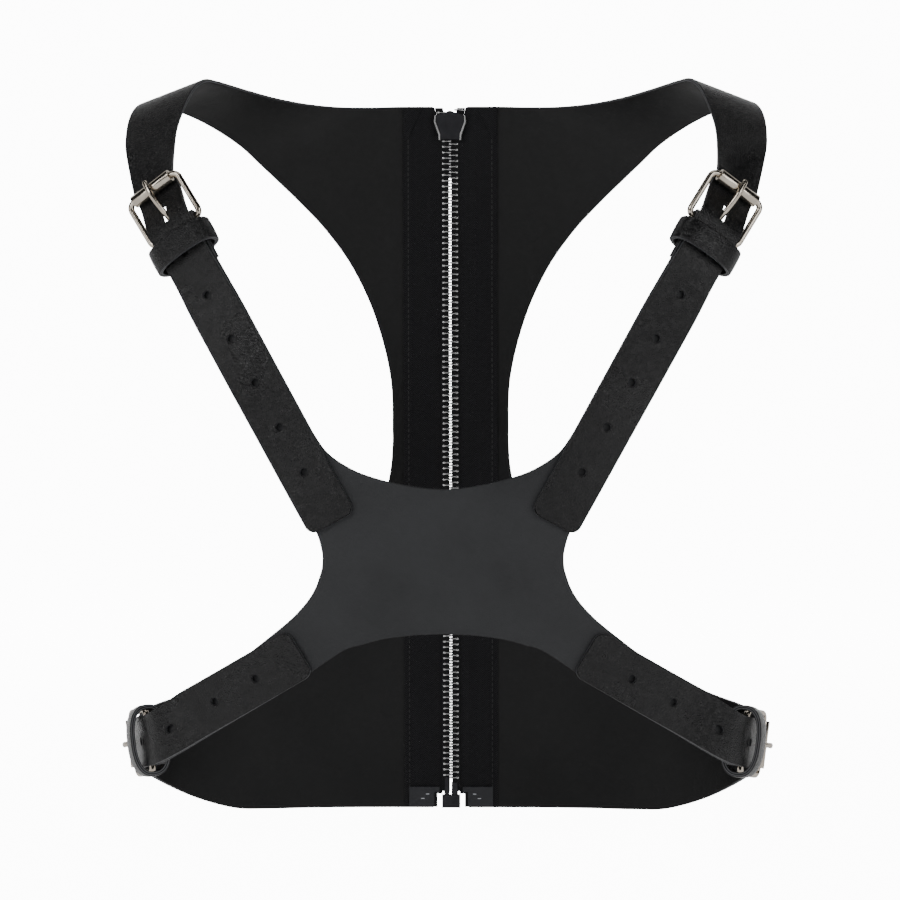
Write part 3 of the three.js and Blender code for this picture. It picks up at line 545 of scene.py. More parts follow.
band_top = np.array([(BAND, z) for z in (197, 230, 262, 292, 320, 348, 374)], float)
back_top = np.array([(30.9, 197), (31.9, 230), (39.8, 262), (51.5, 288), (65.5, 308), (79.5, 323), (93, 336)])
neckline = np.array([(43, 57.5, 373.6), (60, 53.5, 373.6), (76, 47, 374.6), (91, 38, 376.6), (103, 27, 379),
                     (112, 16.5, 381), (119, 6, 382.3), (124.5, -5, 382.3), (129, -15, 378),
                     (133, -24.5, 369), (136.5, -34, 357), (137.3, -43, 345.5)]) + (0, MIDDLE, 0)
shoulder = np.array([(101, 49.5, 343.5), (109, 44.5, 351), (118, 37.5, 357.5), (127.5, 29, 363),
                     (136, 20, 366.8), (144, 11, 369.2), (151, 2.5, 370.2), (157, -6.5, 369.6),
                     (160.5, -15, 366), (162.5, -24, 359.5), (163, -33, 351),
                     (162, -42, 341.5)]) + (0, MIDDLE, 0)
inner_edge = np.concatenate([back_surface(band_top[:, 0], band_top[:, 1]), neckline])
outer_edge = np.concatenate([back_surface(back_top[:, 0], back_top[:, 1]), shoulder])
chord = inner_edge[:, None] * (1 - k) + outer_edge[:, None] * k
on_back = back_surface(chord[..., 0], chord[..., 2])
follow = 1 - ease(np.arange(len(chord)), len(band_top) - 1, len(band_top) + 4)[:, None, None]
yoke_control = np.concatenate([chord * (1 - follow) + on_back * follow, shoulder_strap[:2]])
yoke = smooth_rows(yoke_control, 5, (len(band_top) - 1,))[:-5]

band_z = np.unique(np.concatenate([gusset[0, :, 2], yoke[:6 * 5 + 1, 0, 2]]).round(6))
band_x, band_up = np.meshgrid(np.linspace(ZIP_OPENING, BAND, 7), band_z)
band = back_surface(band_x, band_up)
back_sheet = [(np.concatenate([gusset, wing])[:, ::-1], None), (side_strap[:, ::-1], side_kept[:, ::-1]),
              (yoke, None), (shoulder_strap, shoulder_kept), (band, None)]
mirrored_sheet = [((rows * mirror)[:, ::-1], None if kept is None else kept[:, ::-1])
                  for rows, kept in back_sheet]
for side, sheet in (("left", back_sheet), ("right", mirrored_sheet)):
    half_back = leather_sheet(f"back_half_leather_{side}", sheet)
    half_back.data.materials.append(strap_leather)
    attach(half_back, "root")
    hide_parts(f"back_half_{side}")

# ---------------------------------------------------------------------------------------------
# Buckle frames: four one-inch frames of 3.2 mm nickel-plated wire, bent square with tight corners.
# Each slopes from its roller, outside the strap, down to the bar inside the arm's fold.
# ---------------------------------------------------------------------------------------------
BUCKLE_WIDTH = STRAP + 2 * (1.6 + WIRE)
BUCKLE_CORNER = 3.4
places = ("upper_left", "upper_right", "lower_left", "lower_right")


def in_buckle(place, points):
    """Points given in a buckle's own frame (s along the strap, w across it, n outward), in metres."""
    x, y = (np.array(joints[name]["axis"]) for name in (f"keeper_{place}_slide", f"roller_{place}_spin"))
    z = np.cross(x, y)
    origin = np.array(joints[f"roller_{place}_spin"]["pos_m"]) - ROLLER_RISE * 0.001 * z
    return origin + points * 0.001 @ np.stack([x, y, z])


def rings(centres, first, second, radius, sides):
    """Rings of points about centres, in the plane of two unit vectors, with a radius for each."""
    turn = np.linspace(0, 2 * np.pi, sides, endpoint=False)[None, :, None]
    radius = np.broadcast_to(radius, (len(centres), 2))[:, None, :]
    return (centres[:, None] + first[:, None] * np.cos(turn) * radius[..., :1]
            + second[:, None] * np.sin(turn) * radius[..., 1:])


def shown(mesh, paint, body, slot, *nodes, sharp=38):
    """An object for a finished mesh, riding its body in place of its CAD nodes."""
    mesh.shade_smooth()
    mesh.set_sharp_from_angle(angle=math.radians(sharp))
    piece = bpy.data.objects.new(mesh.name, mesh)
    bpy.context.collection.objects.link(piece)
    piece.data.materials.append(paint)
    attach(piece, body)
    if nodes:
        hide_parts(*nodes)
    return piece


def plated_metal(name, bright, dull, roughness, scratch_depth):
    """Plated metal: duller cloudy patches, fine random scratches and a faint waviness in its polish."""
    made, tree, shader = material(name, Metallic=1.0)
    place = node(tree, "ShaderNodeTexCoord").outputs["Object"]
    clouds = node(tree, "ShaderNodeTexNoise", {"Vector": place}, Scale=210.0, Detail=5.0)
    colour = node(tree, "ShaderNodeMix", {"Factor": clouds.outputs["Fac"]}, data_type="RGBA")
    colour.inputs["A"].default_value, colour.inputs["B"].default_value = linear(dull), linear(bright)
    tree.links.new(colour.outputs["Result"], shader.inputs["Base Color"])
    rough = node(tree, "ShaderNodeMapRange", {"Value": clouds.outputs["Fac"]},
                 **{"From Min": 0.3, "From Max": 0.7, "To Min": roughness + 0.09, "To Max": roughness - 0.04})
    tree.links.new(rough.outputs[0], shader.inputs["Roughness"])
    stretched = node(tree, "ShaderNodeMapping", {"Vector": place}, Scale=(300.0, 300.0, 4000.0))
    scratches = node(tree, "ShaderNodeTexNoise", {"Vector": stretched.outputs[0]}, Scale=1.0, Detail=4.0)
    bump = node(tree, "ShaderNodeBump", {"Height": scratches.outputs["Fac"]}, Strength=0.5,
                Distance=scratch_depth)
    tree.links.new(bump.outputs[0], shader.inputs["Normal"])
    return made


nickel = plated_metal("polished nickel plate on steel", "d6cec1", "a2978a", 0.15, 0.00004)
slant = np.array([BAR_SPACING, 0, PIVOT_DROP - ROLLER_RISE])
frame_length = np.linalg.norm(slant)
slant = slant / frame_length
frame_up = np.cross(slant, (0, 1, 0))
frame_half = (BUCKLE_WIDTH - WIRE) / 2
corner_turns = np.radians(np.arange(4)[:, None] * 90 + 90 + np.linspace(0, 90, 10)).ravel()
corner_a = np.repeat([BUCKLE_CORNER, frame_length - BUCKLE_CORNER], 20)
corner_w = np.repeat([1, -1, -1, 1], 10) * (frame_half - BUCKLE_CORNER)
spokes = slant * np.cos(corner_turns)[:, None] + np.array([0, 1, 0]) * np.sin(corner_turns)[:, None]
frame_path = slant * corner_a[:, None] + (0, 0, ROLLER_RISE) + spokes * BUCKLE_CORNER
frame_path[:, 1] += corner_w
wire_rings = rings(frame_path, spokes, np.broadcast_to(-frame_up, spokes.shape), WIRE / 2, 20)
wire_rings = np.concatenate([wire_rings, wire_rings[:1]])
for place in places:
    shown(grid_mesh(f"buckle_wire_{place}", in_buckle(place, wire_rings), looped=True),
          nickel, "root", "nickel_plate", f"buckle_frame_{place}")

# ---------------------------------------------------------------------------------------------
# Rollers: rolled nickel tubes turning on the frame's outer bar, with eased ends and one long seam.
# ---------------------------------------------------------------------------------------------
ROLLER_BORE = 3.8
roller_half = BUCKLE_WIDTH / 2 - WIRE - 2.1
ease_in = 0.35
roller_profile = np.array([
    (ROLLER_BORE / 2, ease_in - roller_half), (ROLLER_BORE / 2 + ease_in, -roller_half),
    (ROLLER / 2 - ease_in, -roller_half), (ROLLER / 2 - 0.1, 0.1 - roller_half),
    (ROLLER / 2, ease_in - roller_half), (ROLLER / 2, 0), (ROLLER / 2, roller_half - ease_in),
    (ROLLER / 2 - 0.1, roller_half - 0.1), (ROLLER / 2 - ease_in, roller_half),
    (ROLLER_BORE / 2 + ease_in, roller_half), (ROLLER_BORE / 2, roller_half - ease_in)])
seam = math.radians(232)
roller_turn = np.sort(np.concatenate([np.linspace(0, 2 * np.pi, 56), seam + np.array([-0.05, 0, 0.05])]))
groove = np.where(np.abs(roller_turn - seam) < 0.01, 0.16, 0)[:, None] * (roller_profile[:, 0] > 3)
radius = roller_profile[:, 0] - groove
roller_across = np.broadcast_to(roller_profile[:, 1], radius.shape)
roller_rows = np.stack([radius * np.cos(roller_turn)[:, None], roller_across,
                        ROLLER_RISE + radius * np.sin(roller_turn)[:, None]], -1)
for place in places:
    shown(grid_mesh(f"roller_tube_{place}", in_buckle(place, roller_rows), looped=True),
          nickel, f"roller_{place}", "nickel_plate", f"roller_{place}")

# ---------------------------------------------------------------------------------------------
# Tongues: 2.8 mm wire hung by an eye on the inner bar, up through the strap's slot and over the
# roller, its tip hammered a little flat and rounded off.
# ---------------------------------------------------------------------------------------------
TONGUE = 2.8
EYE_BORE = WIRE / 2 + GAP
EYE_HALF = 2.0


def centripetal_curve(points, steps):
    """A centripetal Catmull-Rom curve through points, its end slopes mirrored; its points and tangents."""
    padded = np.concatenate([[2 * points[0] - points[1]], points, [2 * points[-1] - points[-2]]])
    dt = np.linalg.norm(np.diff(padded, axis=0), axis=-1)[:, None] ** 0.5
    chord = np.diff(padded, axis=0)
    before, span, after = dt[:-2], dt[1:-1], dt[2:]
    first = (chord[:-2] / before - (padded[2:-1] - padded[:-3]) / (before + span) + chord[1:-1] / span) * span
    last = (chord[1:-1] / span - (padded[3:] - padded[1:-2]) / (span + after) + chord[2:] / after) * span
    u = np.linspace(0, len(points) - 1, steps)
    i = np.minimum(u.astype(int), len(points) - 2)
    t = (u - i)[:, None]
    p0, p1, m0, m1 = points[i], points[i + 1], first[i], last[i]
    where = ((2 * t**3 - 3 * t**2 + 1) * p0 + (t**3 - 2 * t**2 + t) * m0
             + (3 * t**2 - 2 * t**3) * p1 + (t**3 - t**2) * m1)
    slope = (6 * t**2 - 6 * t) * (p0 - p1) + (3 * t**2 - 4 * t + 1) * m0 + (3 * t**2 - 2 * t) * m1
    return where, unit(slope)


tongue_rest = ROLLER_RISE + ROLLER / 2 + GAP + TONGUE / 2
tongue_points = np.array([
    (BAR_SPACING - 2.6, 0, PIVOT_DROP + 0.6), (TONGUE_HOLE + 3.6, 0, PIVOT_DROP + 1.6),
    (TONGUE_HOLE - 0.3, 0, float(strap_height(TONGUE_HOLE)) + 0.7), (8.5, 0, tongue_rest - 1.6),
    (3.5, 0, tongue_rest - 0.1), (-1, 0, tongue_rest), (-4.2, 0, tongue_rest - 0.4)])
tongue_line, tongue_way = centripetal_curve(tongue_points, 60)
to_tip = np.linalg.norm(tongue_line - tongue_line[-1], axis=-1)
tip_round = np.sqrt(np.clip(1 - (1 - np.clip(to_tip / 1.3, 0, 1)) ** 2, 0.002, 1))
flat = 1 - ease(to_tip, 2, 8)
tongue_side = np.broadcast_to([0.0, 1.0, 0.0], tongue_line.shape)
tongue_up = np.cross(tongue_way, tongue_side)
tongue_radius = TONGUE / 2 * np.stack([(1 + 0.06 * flat) * tip_round, (1 - 0.2 * flat) * tip_round], -1)
tongue_rows = rings(tongue_line, tongue_side, tongue_up, tongue_radius, 18)
eye_turn = np.linspace(0, 2 * np.pi, 33)[:, None]
eye_profile = np.array([(EYE_BORE, 0.2 - EYE_HALF), (EYE_BORE + 0.2, -EYE_HALF), (EYE_BORE + 1.1, -EYE_HALF),
                        (EYE_BORE + 1.4, 0.35 - EYE_HALF), (EYE_BORE + 1.4, EYE_HALF - 0.35),
                        (EYE_BORE + 1.1, EYE_HALF), (EYE_BORE + 0.2, EYE_HALF), (EYE_BORE, EYE_HALF - 0.2)])
eye_rows = np.stack([BAR_SPACING + eye_profile[:, 0] * np.cos(eye_turn),
                     np.broadcast_to(eye_profile[:, 1], (33, 8)),
                     PIVOT_DROP + eye_profile[:, 0] * np.sin(eye_turn)], -1)
for place in places:
    wire_end = grid_mesh(f"tongue_wire_{place}", in_buckle(place, tongue_rows), looped=True)
    shown(wire_end, nickel, f"tongue_{place}", "nickel_plate", f"tongue_{place}", sharp=60)
    shown(grid_mesh(f"tongue_eye_{place}", in_buckle(place, eye_rows), looped=True),
          nickel, f"tongue_{place}", "nickel_plate", f"tongue_{place}")

# ---------------------------------------------------------------------------------------------
# Keepers: oval loops of the strap's leather, 12.5 mm wide, a loose fit over arm and strap, their
# faces crowned a little and their cut edges laminated like the straps'.
# ---------------------------------------------------------------------------------------------
KEEPER_AT = 29.0
KEEPER_BAND = 12.5
KEEPER_INSIDE = (STRAP + 6.6, 4 * LEATHER + 6.4)
keeper_middle = (over_rivet - LEATHER - GAP) / 2 + 0.2
# Second colour: the inner face, darker than the grain as painted shade.
keeper_leather = black_leather("pebbled black leather, polished loop",
                               "131314", "050506", 1.15, 0.00018, 0.28, 0.0004)
oval_turn = np.linspace(0, 2 * np.pi, 97)
round_way = np.stack([np.cos(oval_turn), np.sin(oval_turn)], -1)
oval = np.sign(round_way) * np.abs(round_way) ** 0.8
inner_half = np.array(KEEPER_INSIDE) / 2
inner = oval * inner_half + (0, keeper_middle)
outer = oval * (inner_half + LEATHER) + (0, keeper_middle)
across_band = np.array([0.4, 1.0, 2.2, 4.2, 6.25, 8.3, 10.3, 11.5, 12.1])
rim_in = EDGE_INSET * (1 - np.sqrt(1 - np.abs(EDGE_LEVELS) ** 5)) + 0.1 * np.exp(-(EDGE_LEVELS / 0.12) ** 2)
section_s = np.concatenate([across_band, KEEPER_BAND - rim_in[::-1], across_band[::-1], rim_in])
section_level = np.concatenate([-np.ones(9), EDGE_LEVELS[::-1], np.ones(9), EDGE_LEVELS])
section_rim = np.concatenate([np.zeros(9), np.ones(11), np.zeros(9), np.ones(11)])
share = ((section_level + 1) / 2)[None, :, None]
crown = 0.25 * (1 - ((section_s - KEEPER_BAND / 2) / (KEEPER_BAND / 2)) ** 2) - 0.25
crown_way = unit(outer - inner)[:, None] * crown[None, :, None]
loop_wn = inner[:, None] * (1 - share) + outer[:, None] * share + crown_way
loop_s = np.broadcast_to((KEEPER_AT + section_s)[None, :, None], loop_wn.shape[:2] + (1,))
keeper_rows = np.concatenate([loop_s, loop_wn], -1)
for place in places:
    loop_mesh = grid_mesh(f"keeper_loop_{place}", in_buckle(place, keeper_rows), looped=True)
    for attribute, values in (("edge", section_level), ("rim", section_rim)):
        loop_mesh.attributes.new(attribute, "FLOAT", "POINT").data.foreach_set(
            "value", np.tile(values, len(keeper_rows) - 1).astype(np.float32))
    shown(loop_mesh, keeper_leather, f"keeper_{place}", "strap_leather", f"keeper_{place}", sharp=70)

# ---------------------------------------------------------------------------------------------
# Fold rivets: domed steel caps that clench each arm's lap, blackened gunmetal.
# ---------------------------------------------------------------------------------------------
gunmetal = plated_metal("brushed gunmetal plate", "414144", "2a2a2d", 0.34, 0.00006)
cap_top, cap_foot = LEATHER / 2 + GAP, -LEATHER * 1.5 - 2 * GAP
rivet_profile = np.array([(0.01, cap_foot - 0.8), (1.6, cap_foot - 0.74), (2.8, cap_foot - 0.5),
                          (3.4, cap_foot - 0.2), (3.5, cap_foot), (1.5, cap_foot), (1.5, cap_top),
                          (3.5, cap_top), (3.4, cap_top + 0.2), (2.8, cap_top + 0.5), (1.6, cap_top + 0.74),
                          (0.01, cap_top + 0.8)])
rivet_turn = np.linspace(0, 2 * np.pi, 32, endpoint=False)
rivet_out, rivet_n = rivet_profile[:, :1], rivet_profile[:, 1:]
rivet_rows = np.stack([RIVET_AT + rivet_out * np.cos(rivet_turn), rivet_out * np.sin(rivet_turn),
                       np.broadcast_to(rivet_n, (len(rivet_profile), 32))], -1)
for place in places:
    shown(grid_mesh(f"rivet_caps_{place}", in_buckle(place, rivet_rows), looped=True), gunmetal,
          "root", "rivet_steel", f"fold_rivet_{place}")

# ---------------------------------------------------------------------------------------------
# Zip tapes: two herringbone polyester tapes, sewn inside the leather by a row of dark thread and
# folded away from the chain at the neck.
# ---------------------------------------------------------------------------------------------
zip_up = unit(np.array([0, -ZIP_LEAN, 1.0]))
zip_out = unit(np.array([0, 1.0, ZIP_LEAN]))
zip_foot = np.array([0, MIDDLE + BACK_DEPTH, LIFT]) - zip_out * LEATHER / 2
ZIP_LENGTH = 374 * math.hypot(1, ZIP_LEAN)
CHAIN_HALF = 4.3
CHAIN_DEPTH = 3.4
TAPE = 0.8
TAPE_FACE = -GAP - TAPE
CHAIN_MIDDLE = TAPE_FACE + TAPE / 2
SLIDER_TOP = ZIP_LENGTH - 3
SLIDER_LENGTH = 14.6
PARTS_AT = SLIDER_TOP - 10.5
BOX = (9.7, 6.7, 4.8)


def on_zip(points):
    """Points in the zip's frame (x to the wearer's right, t up the zip, n outward), in metres."""
    return (zip_foot + points @ np.stack([(-1, 0, 0), zip_up, zip_out])) * 0.001


def apart(t):
    """How far each half has drawn aside at a height above where the slider parts them."""
    return 0.24 * np.maximum(0, t - PARTS_AT)


def bevelled(outline, low, high, bevel):
    """A plate over an outline, from n = low to high with bevelled edges: its points and groups of faces."""
    outline = np.array(outline, float)
    after = np.roll(outline, -1, axis=0)
    if np.sum(outline[:, 0] * after[:, 1] - after[:, 0] * outline[:, 1]) < 0:
        outline = outline[::-1]
    run = unit(np.roll(outline, -1, axis=0) - outline)
    normal = np.stack([run[:, 1], -run[:, 0]], -1)
    previous = np.roll(normal, 1, axis=0)
    spread = np.maximum(1 + np.sum(normal * previous, -1, keepdims=True), 0.5)
    inset = outline - (normal + previous) / spread * bevel
    levels = ((inset, low), (outline, low + bevel), (outline, high - bevel), (inset, high))
    points = np.concatenate([np.column_stack([ring, np.full(len(ring), n)]) for ring, n in levels])
    i = np.arange(len(outline))
    j = np.roll(i, -1)
    band = np.stack([i, j, j + len(i), i + len(i)], -1)
    walls = np.concatenate([band + ring * len(i) for ring in range(3)])
    return points, [walls, np.stack([i[::-1], i + 3 * len(i)])]


def repeated(shape, shifts):
    """One shape at each of many shifts."""
    points, groups = shape
    shifts = np.asarray(shifts, float)
    step = np.arange(len(shifts))[:, None, None] * len(points)
    return ((points + shifts[:, None]).reshape(-1, 3), [(g + step).reshape(-1, g.shape[-1]) for g in groups])


def together(*shapes):
    """Several shapes as one."""
    starts = np.cumsum([0] + [len(points) for points, _ in shapes])
    return (np.concatenate([points for points, _ in shapes]),
            [g + start for (_, groups), start in zip(shapes, starts) for g in groups])


def flipped(shape):
    """A shape mirrored across the zip."""
    return shape[0] * (-1, 1, 1), [g[:, ::-1] for g in shape[1]]


def zip_mesh(name, shape):
    mesh = bpy.data.meshes.new(name)
    mesh.from_pydata(on_zip(shape[0]).tolist(), [], [face for g in shape[1] for face in g.tolist()])
    return mesh


tape_cloth, tape_tree, tape_shader = material("black polyester herringbone tape", IOR=1.5)
tape_shader.inputs["Sheen Weight"].default_value = 0.03
tape_shader.inputs["Specular IOR Level"].default_value = 0.2
tape_shader.inputs["Sheen Roughness"].default_value = 0.5
tape_shader.inputs["Roughness"].default_value = 0.78
tape_place = node(tape_tree, "ShaderNodeTexCoord").outputs["Object"]
tape_axes = node(tape_tree, "ShaderNodeSeparateXYZ", {0: tape_place})
column = node(tape_tree, "ShaderNodeMath", {0: tape_axes.outputs["X"]}, operation="PINGPONG", _1=0.0034)
slope = node(tape_tree, "ShaderNodeMath", {0: column.outputs[0], 1: tape_axes.outputs["Z"]}, operation="ADD")
rib = node(tape_tree, "ShaderNodeMath", {0: slope.outputs[0]}, operation="PINGPONG", _1=0.0006)
rib_height = node(tape_tree, "ShaderNodeMapRange", {"Value": rib.outputs[0]}, **{"From Max": 0.0006})
yarn = node(tape_tree, "ShaderNodeTexNoise", {"Vector": tape_place}, Scale=3200.0, Detail=2.0)
weave = node(tape_tree, "ShaderNodeMath", {0: yarn.outputs["Fac"], 2: rib_height.outputs[0]},
             operation="MULTIPLY_ADD", _1=0.5)
weave_bump = node(tape_tree, "ShaderNodeBump", {"Height": weave.outputs[0]}, Strength=1.0, Distance=0.0004)
tape_tree.links.new(weave_bump.outputs[0], tape_shader.inputs["Normal"])
# Painted shade: the tape is darker in the weave's grooves than on its ribs, shading the twill's relief.
weave_groove_shade = node(tape_tree, "ShaderNodeMix", {"Factor": rib_height.outputs[0]}, data_type="RGBA")
weave_groove_shade.inputs["A"].default_value = linear("020203")
weave_groove_shade.inputs["B"].default_value = linear("242427")
tape_tree.links.new(weave_groove_shade.outputs["Result"], tape_shader.inputs["Base Color"])

tape_edge = CHAIN_HALF + GAP + 0.1
box_side, box_clear = BOX[0] / 2 + 2.5, BOX[1] + 1
top_parted = apart(ZIP_LENGTH)
tape_outline = [(tape_edge, box_clear), (box_side, box_clear), (box_side, 0.5), (25, 0.5),
                (25, ZIP_LENGTH - 1.2), (24.2, ZIP_LENGTH - 0.2), (23, ZIP_LENGTH),
                (tape_edge + top_parted + 1.6, ZIP_LENGTH), (tape_edge + top_parted + 0.4, ZIP_LENGTH - 0.5),
                (tape_edge + top_parted - 0.1, ZIP_LENGTH - 1.6), (tape_edge, PARTS_AT)]
tape_shape = bevelled(tape_outline, TAPE_FACE, TAPE_FACE + TAPE, 0.2)
bead_outline = [(0.6, 9.0), (tape_edge + 0.1, 9.0), (tape_edge + 0.1, PARTS_AT),
                (tape_edge + top_parted + 0.1, ZIP_LENGTH - 0.6), (0.6 + top_parted, ZIP_LENGTH - 0.6),
                (0.6, PARTS_AT)]
bead_shape = bevelled(bead_outline, CHAIN_MIDDLE - 0.65, CHAIN_MIDDLE + 0.65, 0.35)
fold_outline = [(14.6, ZIP_LENGTH - 0.6), (22.6, ZIP_LENGTH - 17), (24.6, ZIP_LENGTH - 15.5),
                (24.6, ZIP_LENGTH - 0.6)]
fold_shape = bevelled(fold_outline, TAPE_FACE - 0.55, TAPE_FACE - 0.02, 0.2)
thread, thread_tree, thread_shader = material("bonded polyester thread, black", Base_Color=linear("0b0b0c"),
                                              Roughness=0.5)
thread_place = node(thread_tree, "ShaderNodeTexCoord").outputs["Object"]
twist = node(thread_tree, "ShaderNodeTexWave", {"Vector": thread_place},
             Scale=900.0, bands_direction="DIAGONAL")
thread_bump = node(thread_tree, "ShaderNodeBump", {"Height": twist.outputs["Fac"]},
                   Strength=0.5, Distance=0.0001)
thread_tree.links.new(thread_bump.outputs[0], thread_shader.inputs["Normal"])
pale_thread, pale_tree, pale_shader = material("bonded polyester thread, pale grey",
                                               Base_Color=linear("b9bcc2"), Roughness=0.55)
pale_twist = node(pale_tree, "ShaderNodeTexNoise", Scale=2500.0)
pale_bump = node(pale_tree, "ShaderNodeBump", {"Height": pale_twist.outputs["Fac"]},
                 Strength=0.4, Distance=0.0001)
pale_tree.links.new(pale_bump.outputs[0], pale_shader.inputs["Normal"])
stitch_outline = [(-0.24, -1.0), (0.24, -1.0), (0.3, -0.5), (0.3, 0.5), (0.24, 1.0), (-0.24, 1.0),
                  (-0.3, 0.5), (-0.3, -0.5)]
stitch_t = np.arange(3.0, ZIP_LENGTH - 2, 2.9)
SEAM = 22.2
inside_stitch = bevelled(stitch_outline, TAPE_FACE - 0.2, TAPE_FACE + 0.1, 0.12)
outside_stitch = bevelled(stitch_outline, LEATHER - 0.05, LEATHER + 0.25, 0.12)
seam_at = np.stack([np.full_like(stitch_t, SEAM), stitch_t, np.zeros_like(stitch_t)], -1)
seam_shape = together(repeated(inside_stitch, seam_at * (1, 1, 0)), repeated(outside_stitch, seam_at))
for side, turned in (("right", lambda shape: shape), ("left", flipped)):
    tape = shown(zip_mesh(f"zip_tape_cloth_{side}", turned(tape_shape)), tape_cloth, "root", "zip_tape",
                 f"zip_tape_{side}", sharp=60)
    shown(zip_mesh(f"zip_tape_fold_{side}", turned(fold_shape)), tape_cloth, "root", "zip_tape", sharp=60)
    shown(zip_mesh(f"zip_tape_bead_{side}", turned(bead_shape)), tape_cloth, "root", "zip_tape", sharp=60)
    shown(zip_mesh(f"zip_seam_{side}", turned(seam_shape)), thread, "root", "zip_tape", sharp=60)

# ---------------------------------------------------------------------------------------------
# Zip chain: bright nickel teeth on a 3 mm pitch, each a bar with a bulb at its tip and legs round
# the tape's edge; the halves are half a pitch apart and open out above the slider.
# ---------------------------------------------------------------------------------------------
TOOTH_PITCH = 3.0
tooth_metal = plated_metal("bright nickel zip teeth", "dcdcda", "a6a6aa", 0.2, 0.00001)
upper_edge = np.array([(4.3, 0.25), (4.1, 0.55), (3.5, 0.62), (2.95, 0.48), (2.4, 0.3), (1.3, 0.3),
                       (0.85, 0.46), (0.3, 0.54), (-0.35, 0.42), (-0.65, 0.14)])
tooth_outline = np.concatenate([upper_edge, upper_edge[::-1] * (1, -1)])
tooth = bevelled(tooth_outline, CHAIN_MIDDLE - CHAIN_DEPTH / 2, CHAIN_MIDDLE + CHAIN_DEPTH / 2, 0.26)
for side, first_tooth, turned in (("right", 18.0, lambda shape: shape), ("left", 16.5, flipped)):
    teeth_t = np.arange(first_tooth, ZIP_LENGTH - 1.5, TOOTH_PITCH)
    teeth_at = np.stack([apart(teeth_t), teeth_t, np.zeros_like(teeth_t)], -1)
    shown(zip_mesh(f"zip_teeth_metal_{side}", turned(repeated(tooth, teeth_at))), tooth_metal, "root",
          "zip_teeth", f"zip_teeth_{side}", sharp=50)

# ---------------------------------------------------------------------------------------------
# Slider: two gunmetal plates with a peaked crown, joined by a post, with flanges of bright nickel that
# run in to the neck; an arch on the outside carries the pull.
# ---------------------------------------------------------------------------------------------
NECK = 6.15
SHOULDER = 8.5
WALL = 1.3
slider_foot = SLIDER_TOP - SLIDER_LENGTH
neck_top, shoulder_foot, shoulder_top = slider_foot + 2.8, slider_foot + 9.3, slider_foot + 13
slider_inside = CHAIN_MIDDLE - CHAIN_DEPTH / 2 - GAP
slider_outside = CHAIN_MIDDLE + CHAIN_DEPTH / 2 + GAP
half_crown = np.array([(NECK - 0.9, slider_foot + 0.3), (NECK - 0.8, neck_top),
                       (SHOULDER - 1.1, shoulder_foot + 0.2), (SHOULDER - 1.05, shoulder_top - 0.1),
                       (6.6, shoulder_top + 0.35), (5.4, shoulder_top + 0.75), (3.4, SLIDER_TOP - 0.35),
                       (1.6, SLIDER_TOP + 0.35), (0.6, SLIDER_TOP + 0.9)])
crown_outline = np.concatenate([half_crown, half_crown[::-1] * (-1, 1)])
rail = [(NECK, slider_foot), (NECK, neck_top), (SHOULDER, shoulder_foot), (SHOULDER, shoulder_top - 0.6),
        (SHOULDER - 0.5, shoulder_top), (SHOULDER - 1.2, shoulder_top), (SHOULDER - 1.2, shoulder_foot + 0.3),
        (NECK - 1.25, neck_top + 0.3), (NECK - 1.25, slider_foot)]
lip = GAP + 0.1
rails = [bevelled(rail, slider_inside - WALL, TAPE_FACE - lip, 0.32),
         bevelled(rail, TAPE_FACE + TAPE + lip, slider_outside + WALL, 0.32)]
post_top = SLIDER_TOP - 0.3
post = bevelled([(-0.5, SLIDER_TOP - 3), (0.5, SLIDER_TOP - 3), (0.5, post_top), (-0.5, post_top)],
                slider_inside - 0.2, slider_outside + 0.2, 0.1)
pull_axis = SLIDER_TOP - 7
arch_top = slider_outside + WALL
feet = [bevelled([(-1.5, t), (1.5, t), (1.5, t + 1.2), (-1.5, t + 1.2)], arch_top - 0.3, arch_top + 3.0, 0.15)
        for t in (pull_axis - 5, pull_axis + 3.8)]
bridge = bevelled([(-1.5, pull_axis - 5), (1.5, pull_axis - 5), (1.5, pull_axis + 5), (-1.5, pull_axis + 5)],
                  arch_top + 2.2, arch_top + 3.4, 0.4)
plates = [bevelled(crown_outline, slider_inside - WALL, slider_inside, 0.3),
          bevelled(crown_outline, slider_outside, slider_outside + WALL, 0.3)]
shown(zip_mesh("zip_slider_plates", together(*plates, post, *feet, bridge)),
      gunmetal, "slider", "gunmetal", "zip_slider")
shown(zip_mesh("zip_slider_flanges", together(*rails, *map(flipped, rails))),
      tooth_metal, "slider", "gunmetal", "zip_slider")

# ---------------------------------------------------------------------------------------------
# Pull tab: a flat gunmetal tongue, slotted at the top to hang on the slider's arch.
# ---------------------------------------------------------------------------------------------
PULL_LENGTH, PULL_WIDTH, PULL_THICK = 28.0, 6.8, 1.4
pull_rise = slider_outside + WALL + 1.1
pull_foot = pull_axis - PULL_LENGTH
pull_half = PULL_WIDTH / 2
round_end = np.radians(np.linspace(180, 360, 17))
pull_end = np.stack([pull_half * np.cos(round_end), pull_foot + pull_half * (1 + np.sin(round_end))], -1)
pull_low, pull_high = pull_rise - PULL_THICK / 2, pull_rise + PULL_THICK / 2
body_outline = np.concatenate([pull_end, [(pull_half, pull_axis - 6), (-pull_half, pull_axis - 6)]])
arm_right = bevelled([(pull_half - 1.2, pull_axis - 6.2), (pull_half, pull_axis - 6.2),
                      (pull_half, pull_axis + 0.7), (pull_half - 1.2, pull_axis + 0.7)],
                     pull_low, pull_high, 0.22)
bar = bevelled([(-pull_half, pull_axis - 0.7), (pull_half, pull_axis - 0.7),
                (pull_half, pull_axis + 0.7), (-pull_half, pull_axis + 0.7)], pull_low, pull_high, 0.35)
ridge = [bevelled([(-2, t), (2, t), (2, t + 0.8), (-2, t + 0.8)], pull_high - 0.1, pull_high + 0.3, 0.15)
         for t in pull_foot + np.array([3.5, 5.5, 7.5])]
